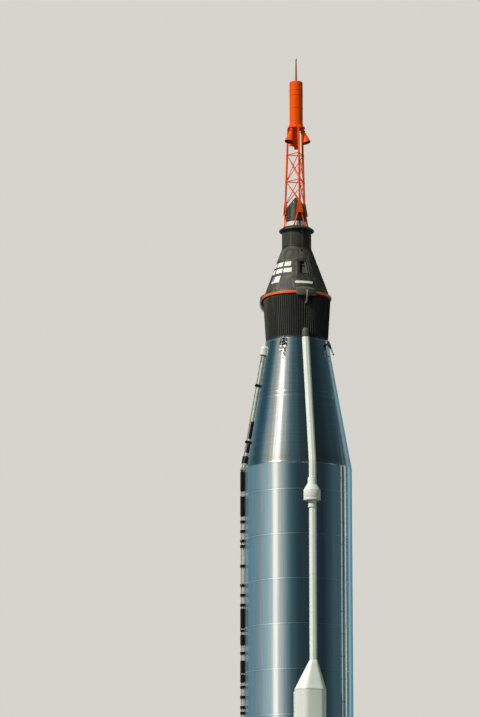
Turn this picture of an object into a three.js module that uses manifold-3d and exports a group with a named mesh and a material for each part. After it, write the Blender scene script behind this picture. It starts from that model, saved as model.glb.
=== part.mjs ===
// Space rocket on its hold-down pads: a one-seat capsule with a lattice escape tower, a ribbed adapter,
// a polished steel tank that tapers at the top, and a three-engine base with two small steering engines.
// Millimetres. +Z is up, -Y is the front (the side with the white cable raceway), +X is to the right.
// The origin is on the rocket's axis, in the plane of the four hold-down pads.
// An azimuth is in degrees round the axis, 0 at the front and 90 at the right.
import * as THREE from "three";
import { mergeVertices } from "three/addons/utils/BufferGeometryUtils.js";
import Module from "manifold-3d";

const wasm = await Module();
wasm.setup();

// Driving dimensions
const GAP = 0.3; // between pieces that touch
const SIDES = 60; // facets of the large round bodies, 6 degrees each
const CONE = THREE.MathUtils.degToRad(20); // half angle of the capsule

const TANK = { radius: 1524, topRadius: 880, top: 19523, shoulder: 15891, split: 7890, bottom: 3496 };
const WELD_PITCH = 1243; // from one ring weld of the tank to the next
const FIRST_WELD = 15111;

const MATING_RING = { inner: 820, outer: 888, thick: 18 };
const ADAPTER = { bottomRadius: 857, topRadius: 935, lip: 946, wall: 30, lipHeight: 40 };
const CAPSULE = { base: 20800, radius: 946, neckRadius: 416, wall: 40, top: 22740 };
const CLAMP_RING = { outer: 983, low: 20764, high: 20836 };
const FLANGE = { radius: 498, topRadius: 372, top: 22868 };
const ANTENNA = { radius: 290, shoulderRadius: 262, ringTop: 23020, shoulder: 23478, top: 23760 };
const TOWER = {
  azimuths: [0, 120, 240],
  footSpread: 165,
  footRadius: 305,
  top: 25790,
  topRadius: 240,
  low: 23239,
  lowRadius: 337,
  rails: [25035, 24245],
  bracesLow: 23560,
  leg: 29,
  rail: 14,
  brace: 12,
  foot: 19,
};
const MOTOR = { radius: 194, bottom: 25875, top: 27190, shoulder: 55 };
const SPIKE = { radius: 30, tipRadius: 20, top: 27892 };
const NOZZLE = { azimuths: [60, 180, 300], rootRadius: 160, exitRadius: 300, exit: 25350, mouth: 128, throat: 45 };

const RACEWAY = { radius: 97, proud: 5 };
const GYRO = {
  collar: [15412, 15248],
  coneTop: 132,
  body: [15064, 14774],
  neck: 14578,
  radius: 240,
  collarRadius: 120,
  neckRadius: 113,
  inset: 24, // of the canister's axis, into the tank
  side: -15,
};
const POD = { half: 454, face: 250, proud: 370, side: 160, offset: -110, bottom: 3700, top: 9551, apex: 10384 };
const POD_NOSE = { half: 97, face: 53, proud: 102, side: 60, offset: 0 };
const VENT = { azimuth: -90, cap: 106, capLow: 19112, capHigh: 19402, tube: 24, spacing: 38, standoff: 32 };
const PIPE = { tube: 27, spacing: 30, standoff: 70, top: 15860, bottom: 4905, clipHeight: 44 };
const CONDUIT = { azimuths: [36, 42], radius: 25, top: 15850, bottom: 3720 };
const GUY_AZIMUTHS = [-40, 50, 140, 230];

const SKIRT = { wall: 25, bottom: 20, padAzimuths: [45, 135, 225, 315] };
const NACELLE = { offset: 1680, radius: 760, shoulder: 2200, top: 3440 };
const HEAT_PLATE = { low: 60, high: 90, boosterHole: 640, sustainerHole: 570 };
const BOOSTER = { gimbal: 1489, exit: -1000 };
const SUSTAINER = { gimbal: 1460, exit: -1000 };
const VERNIER = { out: 236, height: 3800, cant: 30, housingLow: 3930, housingTop: 4900 };
const PIN = { radius: 25, ear: 30, earCentre: 90, earHalf: 50, reach: 104, block: 55 };
const BORE_CLEARANCE = 0.8; // on the radius of a faceted bore round a faceted pin

// Materials
const finish = (color, metalness, roughness) => new THREE.MeshStandardMaterial({ color, metalness, roughness });
const steel = finish(0xb9c0c4, 1, 0.22);
const darkSteel = finish(0x4d4f50, 0.9, 0.45);
const orange = finish(0xe2491c, 0, 0.45);
const black = finish(0x2b2c29, 0.1, 0.6);
const white = finish(0xe4e7df, 0, 0.4);
const grey = finish(0x8b8f8c, 0.4, 0.5);
const glass = finish(0x20262b, 0, 0.08);
const nozzleMetal = finish(0x7d7a74, 0.9, 0.38);
const cloth = finish(0x5f6458, 0, 0.8);

// Shape tools
const radians = THREE.MathUtils.degToRad;
const vector = (x, y, z) => new THREE.Vector3(x, y, z);

// A point at a distance from the axis, an azimuth and a height.
function polar(radius, azimuth, z) {
  return vector(radius * Math.sin(radians(azimuth)), -radius * Math.cos(radians(azimuth)), z);
}

function solidOf(geometry) {
  const bare = geometry.index ? geometry.toNonIndexed() : geometry.clone();
  bare.deleteAttribute("normal");
  bare.deleteAttribute("uv");
  const merged = mergeVertices(bare, 1e-3);
  return new wasm.Manifold(
    new wasm.Mesh({
      numProp: 3,
      vertProperties: new Float32Array(merged.attributes.position.array),
      triVerts: new Uint32Array(merged.index.array),
    }),
  );
}

function geometryOf(solid) {
  const mesh = solid.getMesh();
  return new THREE.BufferGeometry()
    .setAttribute("position", new THREE.BufferAttribute(mesh.vertProperties, 3))
    .setIndex(new THREE.BufferAttribute(mesh.triVerts, 1));
}

const join = (...parts) => geometryOf(parts.map(solidOf).reduce((all, next) => all.add(next)));
const cut = (part, ...tools) =>
  geometryOf(tools.map(solidOf).reduce((rest, tool) => rest.subtract(tool), solidOf(part)));
const common = (a, b) => geometryOf(solidOf(a).intersect(solidOf(b)));

// A body of revolution round Z, from [radius, height] pairs that end on the axis or close on themselves.
function turned(profile, sides = SIDES) {
  const points = profile.map(([radius, z]) => new THREE.Vector2(radius, z));
  const onAxis = profile[0][0] === 0 && profile.at(-1)[0] === 0;
  if (THREE.ShapeUtils.area(points) < 0) points.reverse();
  if (!onAxis) points.push(points[0].clone());
  return new THREE.LatheGeometry(points, sides).rotateX(Math.PI / 2);
}

function prism(shape, low, high) {
  const depth = high - low;
  return new THREE.ExtrudeGeometry(shape, { depth, bevelEnabled: false, curveSegments: 9 }).translate(0, 0, low);
}

const outline = (points) => new THREE.Shape(points.map(([x, y]) => new THREE.Vector2(x, y)));

function block(width, depth, height, x = 0, y = 0, z = 0) {
  return new THREE.BoxGeometry(width, depth, height).translate(x, y, z);
}

// A round bar from one point to another.
function bar(from, to, radius, sides = 8) {
  const along = to.clone().sub(from);
  const turn = new THREE.Quaternion().setFromUnitVectors(vector(0, 1, 0), along.clone().normalize());
  const middle = from.clone().add(to).multiplyScalar(0.5);
  return new THREE.CylinderGeometry(radius, radius, along.length(), sides)
    .applyQuaternion(turn)
    .translate(middle.x, middle.y, middle.z);
}

// A closed skin through rings of points that all have the same number of points, each ring convex.
function loft(rings) {
  const count = rings[0].length;
  const positions = rings.flat().flatMap((p) => [p.x, p.y, p.z]);
  const faces = [];
  for (let level = 0; level + 1 < rings.length; level += 1) {
    for (let i = 0; i < count; i += 1) {
      const a = level * count + i;
      const b = level * count + ((i + 1) % count);
      faces.push(a, b, b + count, a, b + count, a + count);
    }
  }
  const last = (rings.length - 1) * count;
  for (let i = 1; i + 1 < count; i += 1) {
    faces.push(0, i + 1, i, last, last + i, last + i + 1);
  }
  return new THREE.BufferGeometry()
    .setAttribute("position", new THREE.BufferAttribute(new Float32Array(positions), 3))
    .setIndex(faces);
}

const ringOfPoints = (x, y, z, radius, count) =>
  Array.from({ length: count }, (_, i) => {
    const angle = (2 * Math.PI * i) / count;
    return vector(x + radius * Math.cos(angle), y + radius * Math.sin(angle), z);
  });

const rocket = new THREE.Group();

function add(name, geometry, material, parent = rocket, azimuth = 0) {
  const mesh = new THREE.Mesh(geometry, material);
  mesh.name = name;
  mesh.rotation.z = radians(azimuth);
  parent.add(mesh);
  return mesh;
}

// Tank
const TAPER = (TANK.radius - TANK.topRadius) / (TANK.top - TANK.shoulder);
const tankRadiusAt = (z) => (z < TANK.shoulder ? TANK.radius : TANK.radius - (z - TANK.shoulder) * TAPER);

// The tank's outside, grown by a clearance, to cut what lies against it.
function tankSpace(grow) {
  return turned([
    [0, 0],
    [TANK.radius + grow, 0],
    [TANK.radius + grow, TANK.shoulder],
    [TANK.topRadius + grow, TANK.top],
    [0, TANK.top],
  ]);
}

function buildTanks() {
  add(
    "oxidizer_tank",
    turned([
      [0, TANK.split + GAP],
      [TANK.radius, TANK.split + GAP],
      [TANK.radius, TANK.shoulder],
      [TANK.topRadius, TANK.top],
      [0, TANK.top],
    ]),
    steel,
  );
  add(
    "fuel_tank",
    turned([
      [0, TANK.bottom + GAP],
      [TANK.radius, TANK.bottom + GAP],
      [TANK.radius, TANK.split],
      [0, TANK.split],
    ]),
    steel,
  );
}

// Ring between tank and adapter, with four lugs, each with its shackle pin in it
function buildMatingRing() {
  const low = TANK.top + GAP;
  const high = low + MATING_RING.thick;
  const ring = turned([
    [MATING_RING.inner, low],
    [MATING_RING.outer, low],
    [MATING_RING.outer, high],
    [MATING_RING.inner, high],
  ]);
  const lug = outline([
    [-862, high],
    [-938, high],
    [-962, low - 42],
    [-1012, low - 84],
    [-1030, low - 128],
    [-1020, low - 172],
    [-984, low - 190],
    [-950, low - 172],
    [-936, low - 128],
    [-920, low - 42],
    [-896, low],
    [-862, low],
  ]);
  const lugs = GUY_AZIMUTHS.map((azimuth) =>
    new THREE.ExtrudeGeometry(lug, { depth: 24, bevelEnabled: false, curveSegments: 5 })
      .translate(0, 0, -12)
      .rotateX(Math.PI / 2)
      .rotateZ(Math.PI / 2 + radians(azimuth)),
  );
  add("mating_ring", join(ring, ...lugs), darkSteel);
}

// Adapter
const ADAPTER_LOW = TANK.top + MATING_RING.thick + 2 * GAP;
const adapterProfile = (grow) => [
  [ADAPTER.bottomRadius + grow, ADAPTER_LOW],
  [ADAPTER.topRadius + grow, CAPSULE.base - ADAPTER.lipHeight],
  [ADAPTER.lip + grow, CAPSULE.base - ADAPTER.lipHeight],
  [ADAPTER.lip + grow, CAPSULE.base - GAP],
];

function buildAdapter() {
  const inner = [
    [ADAPTER.topRadius - ADAPTER.wall, CAPSULE.base - GAP],
    [ADAPTER.bottomRadius - ADAPTER.wall, ADAPTER_LOW],
  ];
  add("adapter", turned([...adapterProfile(0), ...inner]), black);
  const radius = 100;
  const straight = 19690;
  const dome = [0, 1, 2, 3, 4].map((i) => {
    const angle = (i / 4) * (Math.PI / 2);
    return [radius * Math.cos(angle), straight + radius * Math.sin(angle)];
  });
  dome[4][0] = 0;
  const low = ADAPTER_LOW;
  const blister = turned([[0, low], [radius, low], ...dome], 24).translate(0, -ADAPTER.bottomRadius - 8, 0);
  const space = turned([[0, low - 10], [ADAPTER.bottomRadius + 0.5, low - 10], ...adapterProfile(0.5), [0, CAPSULE.base]]);
  add("adapter_blister", cut(blister, space), black);
}

// Capsule
const coneRadiusAt = (z) => CAPSULE.radius - (z - CAPSULE.base) * Math.tan(CONE);
const NECK = CAPSULE.base + (CAPSULE.radius - CAPSULE.neckRadius) / Math.tan(CONE);
const WALL_RADIUS = CAPSULE.wall / Math.cos(CONE); // the wall measured along the radius

const HATCH = { azimuth: 50, low: 20950, high: 21760, halfLow: 330, halfHigh: 235, gap: 5, ledge: 30, seat: 20 };
const WINDOW = { azimuth: 0, low: 21395, high: 21765, halfLow: 122, halfHigh: 88, seat: 18 };

// A bar of four-sided section that runs straight out through the capsule's wall, at the front.
function wallCutter(panel, grow) {
  const slope = 1 / Math.cos(CONE);
  const half = ((panel.high - panel.low) / 2) * slope + grow;
  const middle = (panel.low + panel.high) / 2;
  const section = outline([
    [-panel.halfLow - grow, -half],
    [panel.halfLow + grow, -half],
    [panel.halfHigh + grow, half],
    [-panel.halfHigh - grow, half],
  ]);
  return prism(section, -220, 220)
    .rotateX(Math.PI / 2 - CONE)
    .translate(0, -coneRadiusAt(middle), middle);
}

function capsuleWall(outset, inset) {
  const outer = (z) => coneRadiusAt(z) + outset;
  const inner = (z) => coneRadiusAt(z) - WALL_RADIUS + inset;
  return turned([
    [inner(CAPSULE.base), CAPSULE.base],
    [outer(CAPSULE.base), CAPSULE.base],
    [outer(NECK), NECK],
    [inner(NECK), NECK],
  ]);
}

function buildCapsule() {
  const turn = (geometry, panel) => geometry.rotateZ(radians(panel.azimuth));
  // The hatch rests on a ledge that runs round its opening.
  const recess = common(capsuleWall(60, HATCH.seat - GAP), turn(wallCutter(HATCH, 0), HATCH));
  const shell = cut(
    capsuleWall(0, 0),
    recess,
    turn(wallCutter(HATCH, -HATCH.ledge), HATCH),
    turn(wallCutter(WINDOW, 0), WINDOW),
  );
  add("cabin_shell", shell, black);
  add("side_hatch", common(capsuleWall(0, HATCH.seat), turn(wallCutter(HATCH, -HATCH.gap), HATCH)), black);
  const pane = common(capsuleWall(-WINDOW.seat, 0), turn(wallCutter(WINDOW, -2 * GAP), WINDOW));
  add("cabin_window", pane, glass);

  const inside = coneRadiusAt(CAPSULE.base) - WALL_RADIUS - 2 * GAP;
  const dishDepth = 234;
  const dish = [0, 1, 2, 3].map((i) => {
    const radius = (inside * i) / 3;
    return [radius, CAPSULE.base - dishDepth * (1 - (i / 3) ** 2)];
  });
  const plug = 50;
  add(
    "heat_shield",
    turned([...dish, [inside - plug * Math.tan(CONE), CAPSULE.base + plug], [0, CAPSULE.base + plug]]),
    darkSteel,
  );

  add(
    "recovery_section",
    turned([
      [0, NECK + GAP],
      [CAPSULE.neckRadius, NECK + GAP],
      [CAPSULE.neckRadius, CAPSULE.top],
      [0, CAPSULE.top],
    ]),
    black,
  );
}

// Couch and panel stand on the floor over the heat shield. The pilot lies on their back, facing up.
function buildCabinInside() {
  const floor = CAPSULE.base + 50 + GAP;
  const couchSide = outline([
    [-430, floor],
    [430, floor],
    [430, floor + 420],
    [330, floor + 420],
    [250, floor + 170],
    [-130, floor + 110],
    [-330, floor + 130],
    [-430, floor + 190],
  ]);
  const couch = new THREE.ExtrudeGeometry(couchSide, { depth: 560, bevelEnabled: false })
    .translate(0, 0, -280)
    .rotateX(Math.PI / 2)
    .rotateZ(Math.PI / 2);
  add("pilot_couch", couch, cloth);
  const column = block(120, 90, 960, 0, 480, floor + 480);
  const panel = block(560, 70, 360, 0, 0, 0).rotateX(radians(-70)).translate(0, 330, floor + 905);
  const joined = join(column, panel);
  const room = turned([
    [0, CAPSULE.base],
    [coneRadiusAt(CAPSULE.base) - WALL_RADIUS - 1, CAPSULE.base],
    [coneRadiusAt(NECK) - WALL_RADIUS - 1, NECK],
    [0, NECK],
  ]);
  add("instrument_panel", common(joined, room), grey);
}

// Clamp ring and its three fairings, each with a cable strap
function buildClampRing() {
  const { outer, low, high } = CLAMP_RING;
  const inner = CAPSULE.radius + 0.6;
  const profile = [
    [inner, low],
    [outer - 12, low],
    [outer, low + 14],
    [outer, high - 14],
    [outer - 12, high],
    [inner, high],
  ];
  add("clamp_ring", turned(profile), orange);

  // The cover goes round the ring with a gap, and stands clear of the adapter below it.
  const gap = 0.6;
  const top = 20962;
  const shell = turned([
    [inner + gap, 20685],
    [inner + gap, low - gap],
    [outer + gap, low - gap],
    [outer + gap, high + gap],
    [coneRadiusAt(high) + 2 * gap, high + gap],
    [coneRadiusAt(top) + 2 * gap, top],
    [1000, top - 17],
    [1042, 20890],
    [1042, 20720],
    [1012, 20685],
  ]);
  const wedge = outline([
    [0, 0],
    [-296, -1020],
    [-238, -1200],
    [238, -1200],
    [296, -1020],
  ]);
  const cover = common(shell, prism(wedge, 20600, 21000));
  // The strap's side view, as [radius, height] pairs down its outer face and back up its inner one.
  const strapSide = [
    [1010, 20850],
    [1066, 20760],
    [1080, 20660],
    [1072, 20570],
    [1042, 20485],
    [985, 20415],
    [850, 20362],
    [850, 20386],
    [975, 20437],
    [1025, 20495],
    [1053, 20575],
    [1061, 20655],
    [1050, 20740],
    [1000, 20815],
  ];
  const strap = new THREE.ExtrudeGeometry(outline(strapSide.map(([radius, z]) => [-radius, z])), {
    depth: 46,
    bevelEnabled: false,
  })
    .translate(0, 0, -23)
    .rotateX(Math.PI / 2)
    .rotateZ(Math.PI / 2);
  const adapterSpace = turned([[0, ADAPTER_LOW], ...adapterProfile(gap), [0, CAPSULE.base]]);
  const fairing = join(cover, cut(strap, adapterSpace));
  TOWER.azimuths.forEach((azimuth, i) => add(`clamp_fairing_${i + 1}`, fairing, black, rocket, azimuth));
}

// Top of the capsule
function buildTopOfCapsule() {
  const low = CAPSULE.top + GAP;
  add(
    "tower_flange",
    turned([
      [0, low],
      [FLANGE.radius - 26, low],
      [FLANGE.radius, low + 12],
      [FLANGE.radius, low + 44],
      [FLANGE.topRadius, FLANGE.top],
      [0, FLANGE.top],
    ]),
    black,
  );
  const bandLow = FLANGE.top + GAP;
  const bandRadius = ANTENNA.radius - 5;
  add(
    "antenna_insulator",
    turned([[0, bandLow], [bandRadius, bandLow], [bandRadius, ANTENNA.ringTop], [0, ANTENNA.ringTop]], 36),
    white,
  );
  const fairingLow = ANTENNA.ringTop + GAP;
  add(
    "antenna_fairing",
    turned(
      [
        [0, fairingLow],
        [ANTENNA.radius, fairingLow],
        [ANTENNA.shoulderRadius, ANTENNA.shoulder],
        [34, ANTENNA.top],
        [0, ANTENNA.top],
      ],
      36,
    ),
    black,
  );
}

// Escape tower
const legRadiusAt = (z) =>
  TOWER.topRadius + ((TOWER.top - z) / (TOWER.top - TOWER.low)) * (TOWER.lowRadius - TOWER.topRadius);

function buildTower() {
  const parts = [];
  const corner = (i, z) => polar(legRadiusAt(z), TOWER.azimuths[i % 3], z);
  const footZ = FLANGE.top + GAP;
  TOWER.azimuths.forEach((azimuth, i) => {
    parts.push(bar(corner(i, TOWER.low + 20), corner(i, TOWER.top + 60), TOWER.leg, 10));
    const sideways = polar(1, azimuth + 90, 0);
    const knee = corner(i, TOWER.low + 60);
    for (const side of [-1, 1]) {
      const foot = polar(TOWER.footRadius, azimuth, footZ - 40).addScaledVector(sideways, side * TOWER.footSpread);
      const hip = knee.clone().addScaledVector(sideways, side * 40);
      parts.push(bar(foot, hip, TOWER.foot));
    }
    const gusset = outline([
      [-24, 395],
      [24, 395],
      [96, 10],
      [-96, 10],
    ]);
    const plate = new THREE.ExtrudeGeometry(gusset, { depth: 14, bevelEnabled: false })
      .rotateX(Math.PI / 2)
      .translate(0, -TOWER.lowRadius - 14, TOWER.low)
      .rotateZ(radians(azimuth));
    parts.push(plate);
    for (const level of TOWER.rails) {
      parts.push(bar(corner(i, level), corner(i + 1, level), TOWER.rail, 6));
    }
    for (const [high, low] of [TOWER.rails, [TOWER.rails[1], TOWER.bracesLow]]) {
      parts.push(bar(corner(i, high), corner(i + 1, low), TOWER.brace, 6));
      parts.push(bar(corner(i + 1, high), corner(i, low), TOWER.brace, 6));
    }
  });
  const slab = block(1200, 1200, TOWER.top - GAP - footZ, 0, 0, (TOWER.top - GAP + footZ) / 2);
  const clear = turned([[0, footZ - 50], [ANTENNA.radius + 6, footZ - 50], [ANTENNA.radius + 6, 23050], [0, 23050]], 36);
  add("escape_tower", cut(common(join(...parts), slab), clear), orange);
}

function buildEscapeMotor() {
  add(
    "motor_collar",
    turned(
      [
        [0, TOWER.top],
        [252, TOWER.top],
        [252, TOWER.top + 20],
        [206, MOTOR.bottom - 12],
        [206, MOTOR.bottom - GAP],
        [0, MOTOR.bottom - GAP],
      ],
      36,
    ),
    orange,
  );
  const { radius, bottom, top, shoulder } = MOTOR;
  const round = [0, 1, 2, 3].map((i) => {
    const angle = (i / 3) * (Math.PI / 2);
    return [radius - shoulder * (1 - Math.cos(angle)), top - shoulder * (1 - Math.sin(angle))];
  });
  add("escape_motor", turned([[0, bottom], [radius, bottom], ...round, [0, top]], 36), orange);
  add(
    "aerospike",
    turned(
      [
        [0, top + GAP],
        [SPIKE.radius + 22, top + GAP],
        [SPIKE.radius, top + 30],
        [SPIKE.tipRadius, SPIKE.top - 60],
        [SPIKE.tipRadius + 6, SPIKE.top - 45],
        [SPIKE.tipRadius + 6, SPIKE.top - 12],
        [0, SPIKE.top],
      ],
      20,
    ),
    orange,
  );
  add(
    "jettison_motor",
    turned(
      [
        [0, 25190],
        [62, 25190],
        [62, 25240],
        [100, 25300],
        [100, TOWER.top - GAP],
        [0, TOWER.top - GAP],
      ],
      32,
    ),
    orange,
  );
  buildEscapeNozzles();
}

function buildEscapeNozzles() {
  const rise = TOWER.top - NOZZLE.exit;
  const tilt = Math.atan2(NOZZLE.exitRadius - NOZZLE.rootRadius, rise);
  const length = rise / Math.cos(tilt);
  const wall = 9;
  const bell = turned(
    [
      [0, -length + 350],
      [NOZZLE.throat - wall, -length + 350],
      [NOZZLE.mouth - wall, -length],
      [NOZZLE.mouth, -length],
      [NOZZLE.throat + 6, -length + 360],
      [NOZZLE.throat, 60],
      [0, 60],
    ],
    28,
  );
  const above = block(800, 800, 400, 0, 0, TOWER.top - GAP + 200);
  const placed = bell.rotateX(-tilt).translate(0, -NOZZLE.rootRadius, TOWER.top);
  const nozzle = cut(placed, above);
  NOZZLE.azimuths.forEach((azimuth, i) => add(`escape_nozzle_${i + 1}`, nozzle, orange, rocket, azimuth));
}

// What runs down the tank
function buildRaceway() {
  const centre = (z) => vector(0, -tankRadiusAt(z) - RACEWAY.proud, z);
  const space = tankSpace(GAP);
  const top = TANK.top - 6;
  const elbow = new THREE.SphereGeometry(RACEWAY.radius, 24, 12).translate(...centre(TANK.shoulder).toArray());
  const upper = join(
    bar(centre(TANK.shoulder), centre(top + 60), RACEWAY.radius, 24),
    bar(centre(GYRO.collar[0] + GAP), centre(TANK.shoulder), RACEWAY.radius, 24),
    elbow,
  );
  const lid = block(400, 400, 200, 0, -TANK.topRadius, top + 100);
  add("raceway_upper", cut(upper, space, lid), white);
  add("raceway_lower", cut(bar(centre(POD.apex + GAP), centre(GYRO.neck - GAP), RACEWAY.radius, 24), space), white);

  const necks = turned(
    [
      [0, GYRO.neck],
      [GYRO.neckRadius, GYRO.neck],
      [GYRO.neckRadius, GYRO.body[1] + 20],
      [GYRO.collarRadius, GYRO.collar[1] - 20],
      [GYRO.collarRadius, GYRO.collar[0]],
      [0, GYRO.collar[0]],
    ],
    32,
  ).translate(GYRO.side, -TANK.radius - RACEWAY.proud, 0);
  const canister = turned(
    [
      [0, GYRO.body[1]],
      [GYRO.radius, GYRO.body[1]],
      [GYRO.radius, GYRO.body[0]],
      [GYRO.coneTop, GYRO.collar[1]],
      [0, GYRO.collar[1]],
    ],
    36,
  ).translate(GYRO.side, -TANK.radius + GYRO.inset, 0);
  add("gyro_housing", cut(join(necks, canister), space), white);
}

function buildPods() {
  // One level of the pod, as a six-cornered outline with its middle at an offset.
  const section = ({ half, face, proud, side, offset }, z) => {
    const inside = TANK.radius - 90;
    return [
      [-half, -inside],
      [-half, -TANK.radius - side],
      [-face, -TANK.radius - proud],
      [face, -TANK.radius - proud],
      [half, -TANK.radius - side],
      [half, -inside],
    ].map(([x, y]) => vector(x + offset, y, z));
  };
  const body = loft([section(POD, POD.bottom), section(POD, POD.top), section(POD_NOSE, POD.apex)]);
  const pod = cut(body, tankSpace(GAP));
  [
    ["equipment_pod_front", 0],
    ["equipment_pod_rear", 180],
  ].forEach(([name, azimuth]) => add(name, pod, white, rocket, azimuth));
}

function buildVentLine() {
  const space = tankSpace(GAP);
  const capCentre = tankRadiusAt((VENT.capLow + VENT.capHigh) / 2) + 38;
  const domeLow = VENT.capHigh - VENT.cap;
  const dome = [0, 1, 2, 3, 4].map((i) => {
    const angle = (i / 4) * (Math.PI / 2);
    return [i === 4 ? 0 : VENT.cap * Math.cos(angle), domeLow + VENT.cap * Math.sin(angle)];
  });
  const cap = turned([[0, VENT.capLow], [VENT.cap, VENT.capLow], ...dome], 28);
  add("vent_cap", cut(cap.translate(0, -capCentre, 0), space), white, rocket, VENT.azimuth);

  const high = VENT.capLow - GAP;
  const low = PIPE.top + GAP;
  const away = (z) => -tankRadiusAt(z) - VENT.standoff;
  const parts = [-1, 1].map((side) =>
    bar(
      vector(side * VENT.spacing, away(low) - 30, low - 40),
      vector(side * VENT.spacing, away(high), high + 40),
      VENT.tube,
      12,
    ),
  );
  for (const z of [18300, 16680]) {
    parts.push(block(150, 90, 46, 0, away(z) + 10, z));
  }
  const slab = block(400, 2400, high - low, 0, -1300, (high + low) / 2);
  add("vent_tubes", cut(common(join(...parts), slab), space), darkSteel, rocket, VENT.azimuth);

  const lineY = -TANK.radius - PIPE.standoff;
  const clip = (z, height) => block(122, 90, height, 0, lineY + 20, z);
  const line = [-1, 1].map((side) =>
    bar(vector(side * PIPE.spacing, lineY, PIPE.bottom), vector(side * PIPE.spacing, lineY, PIPE.top), PIPE.tube, 12),
  );
  line.push(clip(PIPE.top - 30, 60), clip(PIPE.bottom + 30, 60));
  for (let z = FIRST_WELD - 40; z > PIPE.bottom + 300; z -= WELD_PITCH) {
    line.push(clip(z, PIPE.clipHeight));
  }
  add("pressure_line", cut(join(...line), space), grey, rocket, VENT.azimuth);
}

function buildConduits() {
  const line = cut(
    bar(
      vector(0, -TANK.radius - 8, CONDUIT.bottom),
      vector(0, -TANK.radius - 8, CONDUIT.top),
      CONDUIT.radius,
      10,
    ),
    tankSpace(GAP),
  );
  CONDUIT.azimuths.forEach((azimuth, i) => add(`instrument_conduit_${i + 1}`, line, grey, rocket, azimuth));
}

// Base
// One engine nacelle's outside at the right, shrunk by a wall and cut off at a floor.
function nacelleSpace(shrink, floor = SKIRT.bottom) {
  const { offset, radius, shoulder, top } = NACELLE;
  const count = 36;
  return loft([
    ringOfPoints(offset, 0, floor, radius - shrink, count),
    ringOfPoints(offset, 0, shoulder, radius - shrink, count),
    ringOfPoints(1490, 0, top - 2.2 * shrink, 70 - shrink, count),
  ]);
}

const twice = (geometry) => [geometry, geometry.clone().rotateZ(Math.PI)];

function buildSkirt() {
  const { wall, bottom, padAzimuths } = SKIRT;
  const tube = turned([
    [TANK.radius - wall, bottom],
    [TANK.radius, bottom],
    [TANK.radius, TANK.bottom],
    [TANK.radius - wall, TANK.bottom],
  ]);
  const pad = join(
    block(260, 150, 20, 0, -TANK.radius - 51, 10),
    block(220, 128, 300, 0, -TANK.radius - 40, 160),
  );
  const pads = padAzimuths.map((azimuth) => pad.clone().rotateZ(radians(azimuth)));
  const inside = turned([[0, -10], [TANK.radius - wall, -10], [TANK.radius - wall, 1000], [0, 1000]]);
  const full = join(cut(tube, ...twice(nacelleSpace(-GAP, -20))), ...pads.map((p) => cut(p, inside)));
  const half = block(5000, 2500, 4000, 0, -1250 - GAP / 2, 1900);
  add("skirt_front", common(full, half), steel);
  add("skirt_rear", common(full, half.clone().rotateZ(Math.PI)), steel);

  const nacelle = cut(
    nacelleSpace(0),
    nacelleSpace(wall, bottom - 40),
    turned([[0, -50], [TANK.radius + GAP, -50], [TANK.radius + GAP, TANK.bottom + 50], [0, TANK.bottom + 50]]),
  );
  add("nacelle_right", nacelle, steel);
  add("nacelle_left", nacelle, steel, rocket, 180);
}

// A plate across the base that follows the skirt and both nacelles, with a gap.
function basePlate(low, high) {
  const disc = turned([[0, low], [TANK.radius - SKIRT.wall - GAP, low], [TANK.radius - SKIRT.wall - GAP, high], [0, high]]);
  const { offset, radius } = NACELLE;
  const lobe = loft([
    ringOfPoints(offset, 0, low, radius - SKIRT.wall - 2 * GAP, 36),
    ringOfPoints(offset, 0, high, radius - SKIRT.wall - 2 * GAP, 36),
  ]);
  return join(disc, ...twice(lobe));
}

// Two ears that hang down to a bored pin line along Y, with the pin's centre at the origin.
function earsFromAbove(reach, sizes = PIN) {
  const { ear, earCentre, earHalf } = sizes;
  const bore = bar(vector(0, -200, 0), vector(0, 200, 0), sizes.radius + BORE_CLEARANCE, 16);
  const ears = [-1, 1].map((side) =>
    block(2 * earHalf, ear, reach + earHalf, 0, side * earCentre, (reach - earHalf) / 2),
  );
  return cut(join(...ears, block(2 * earHalf + 60, 2 * earCentre + 80, 40, 0, 0, reach - 20)), bore);
}

function buildThrustStructure() {
  const low = 1640;
  const ears = earsFromAbove(low - BOOSTER.gimbal + 30).translate(NACELLE.offset, 0, BOOSTER.gimbal);
  const hole = turned([[0, low - 50], [640, low - 50], [640, low + 200], [0, low + 200]], 36);
  add("thrust_frame", join(cut(basePlate(low, low + 110), hole), ...twice(ears)), darkSteel);

  const coneLow = SUSTAINER.gimbal + 150;
  const cone = turned(
    [
      [0, coneLow],
      [170, coneLow],
      [540, TANK.bottom],
      [0, TANK.bottom],
    ],
    36,
  );
  const sustainerEars = earsFromAbove(coneLow - SUSTAINER.gimbal + 20).translate(0, 0, SUSTAINER.gimbal);
  add("thrust_cone", join(cone, sustainerEars), darkSteel);

  const { boosterHole, sustainerHole } = HEAT_PLATE;
  const round = (radius) =>
    turned([[0, 0], [radius, 0], [radius, 200], [0, 200]], 36);
  const holes = [...twice(round(boosterHole).translate(NACELLE.offset, 0, 0)), round(sustainerHole)];
  add("base_heat_shield", cut(basePlate(HEAT_PLATE.low, HEAT_PLATE.high), ...holes), grey);
}

// Engines
// Each engine hangs from a cross-shaped gimbal: the cross turns on a pin along Y, the engine on a pin along X.
function gimbalCross(sizes = PIN) {
  const { block: half, reach, radius } = sizes;
  return join(
    block(2 * half, 2 * half, 2 * half),
    bar(vector(-reach, 0, 0), vector(reach, 0, 0), radius, 16),
    bar(vector(0, -reach, 0), vector(0, reach, 0), radius, 16),
  );
}

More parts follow.
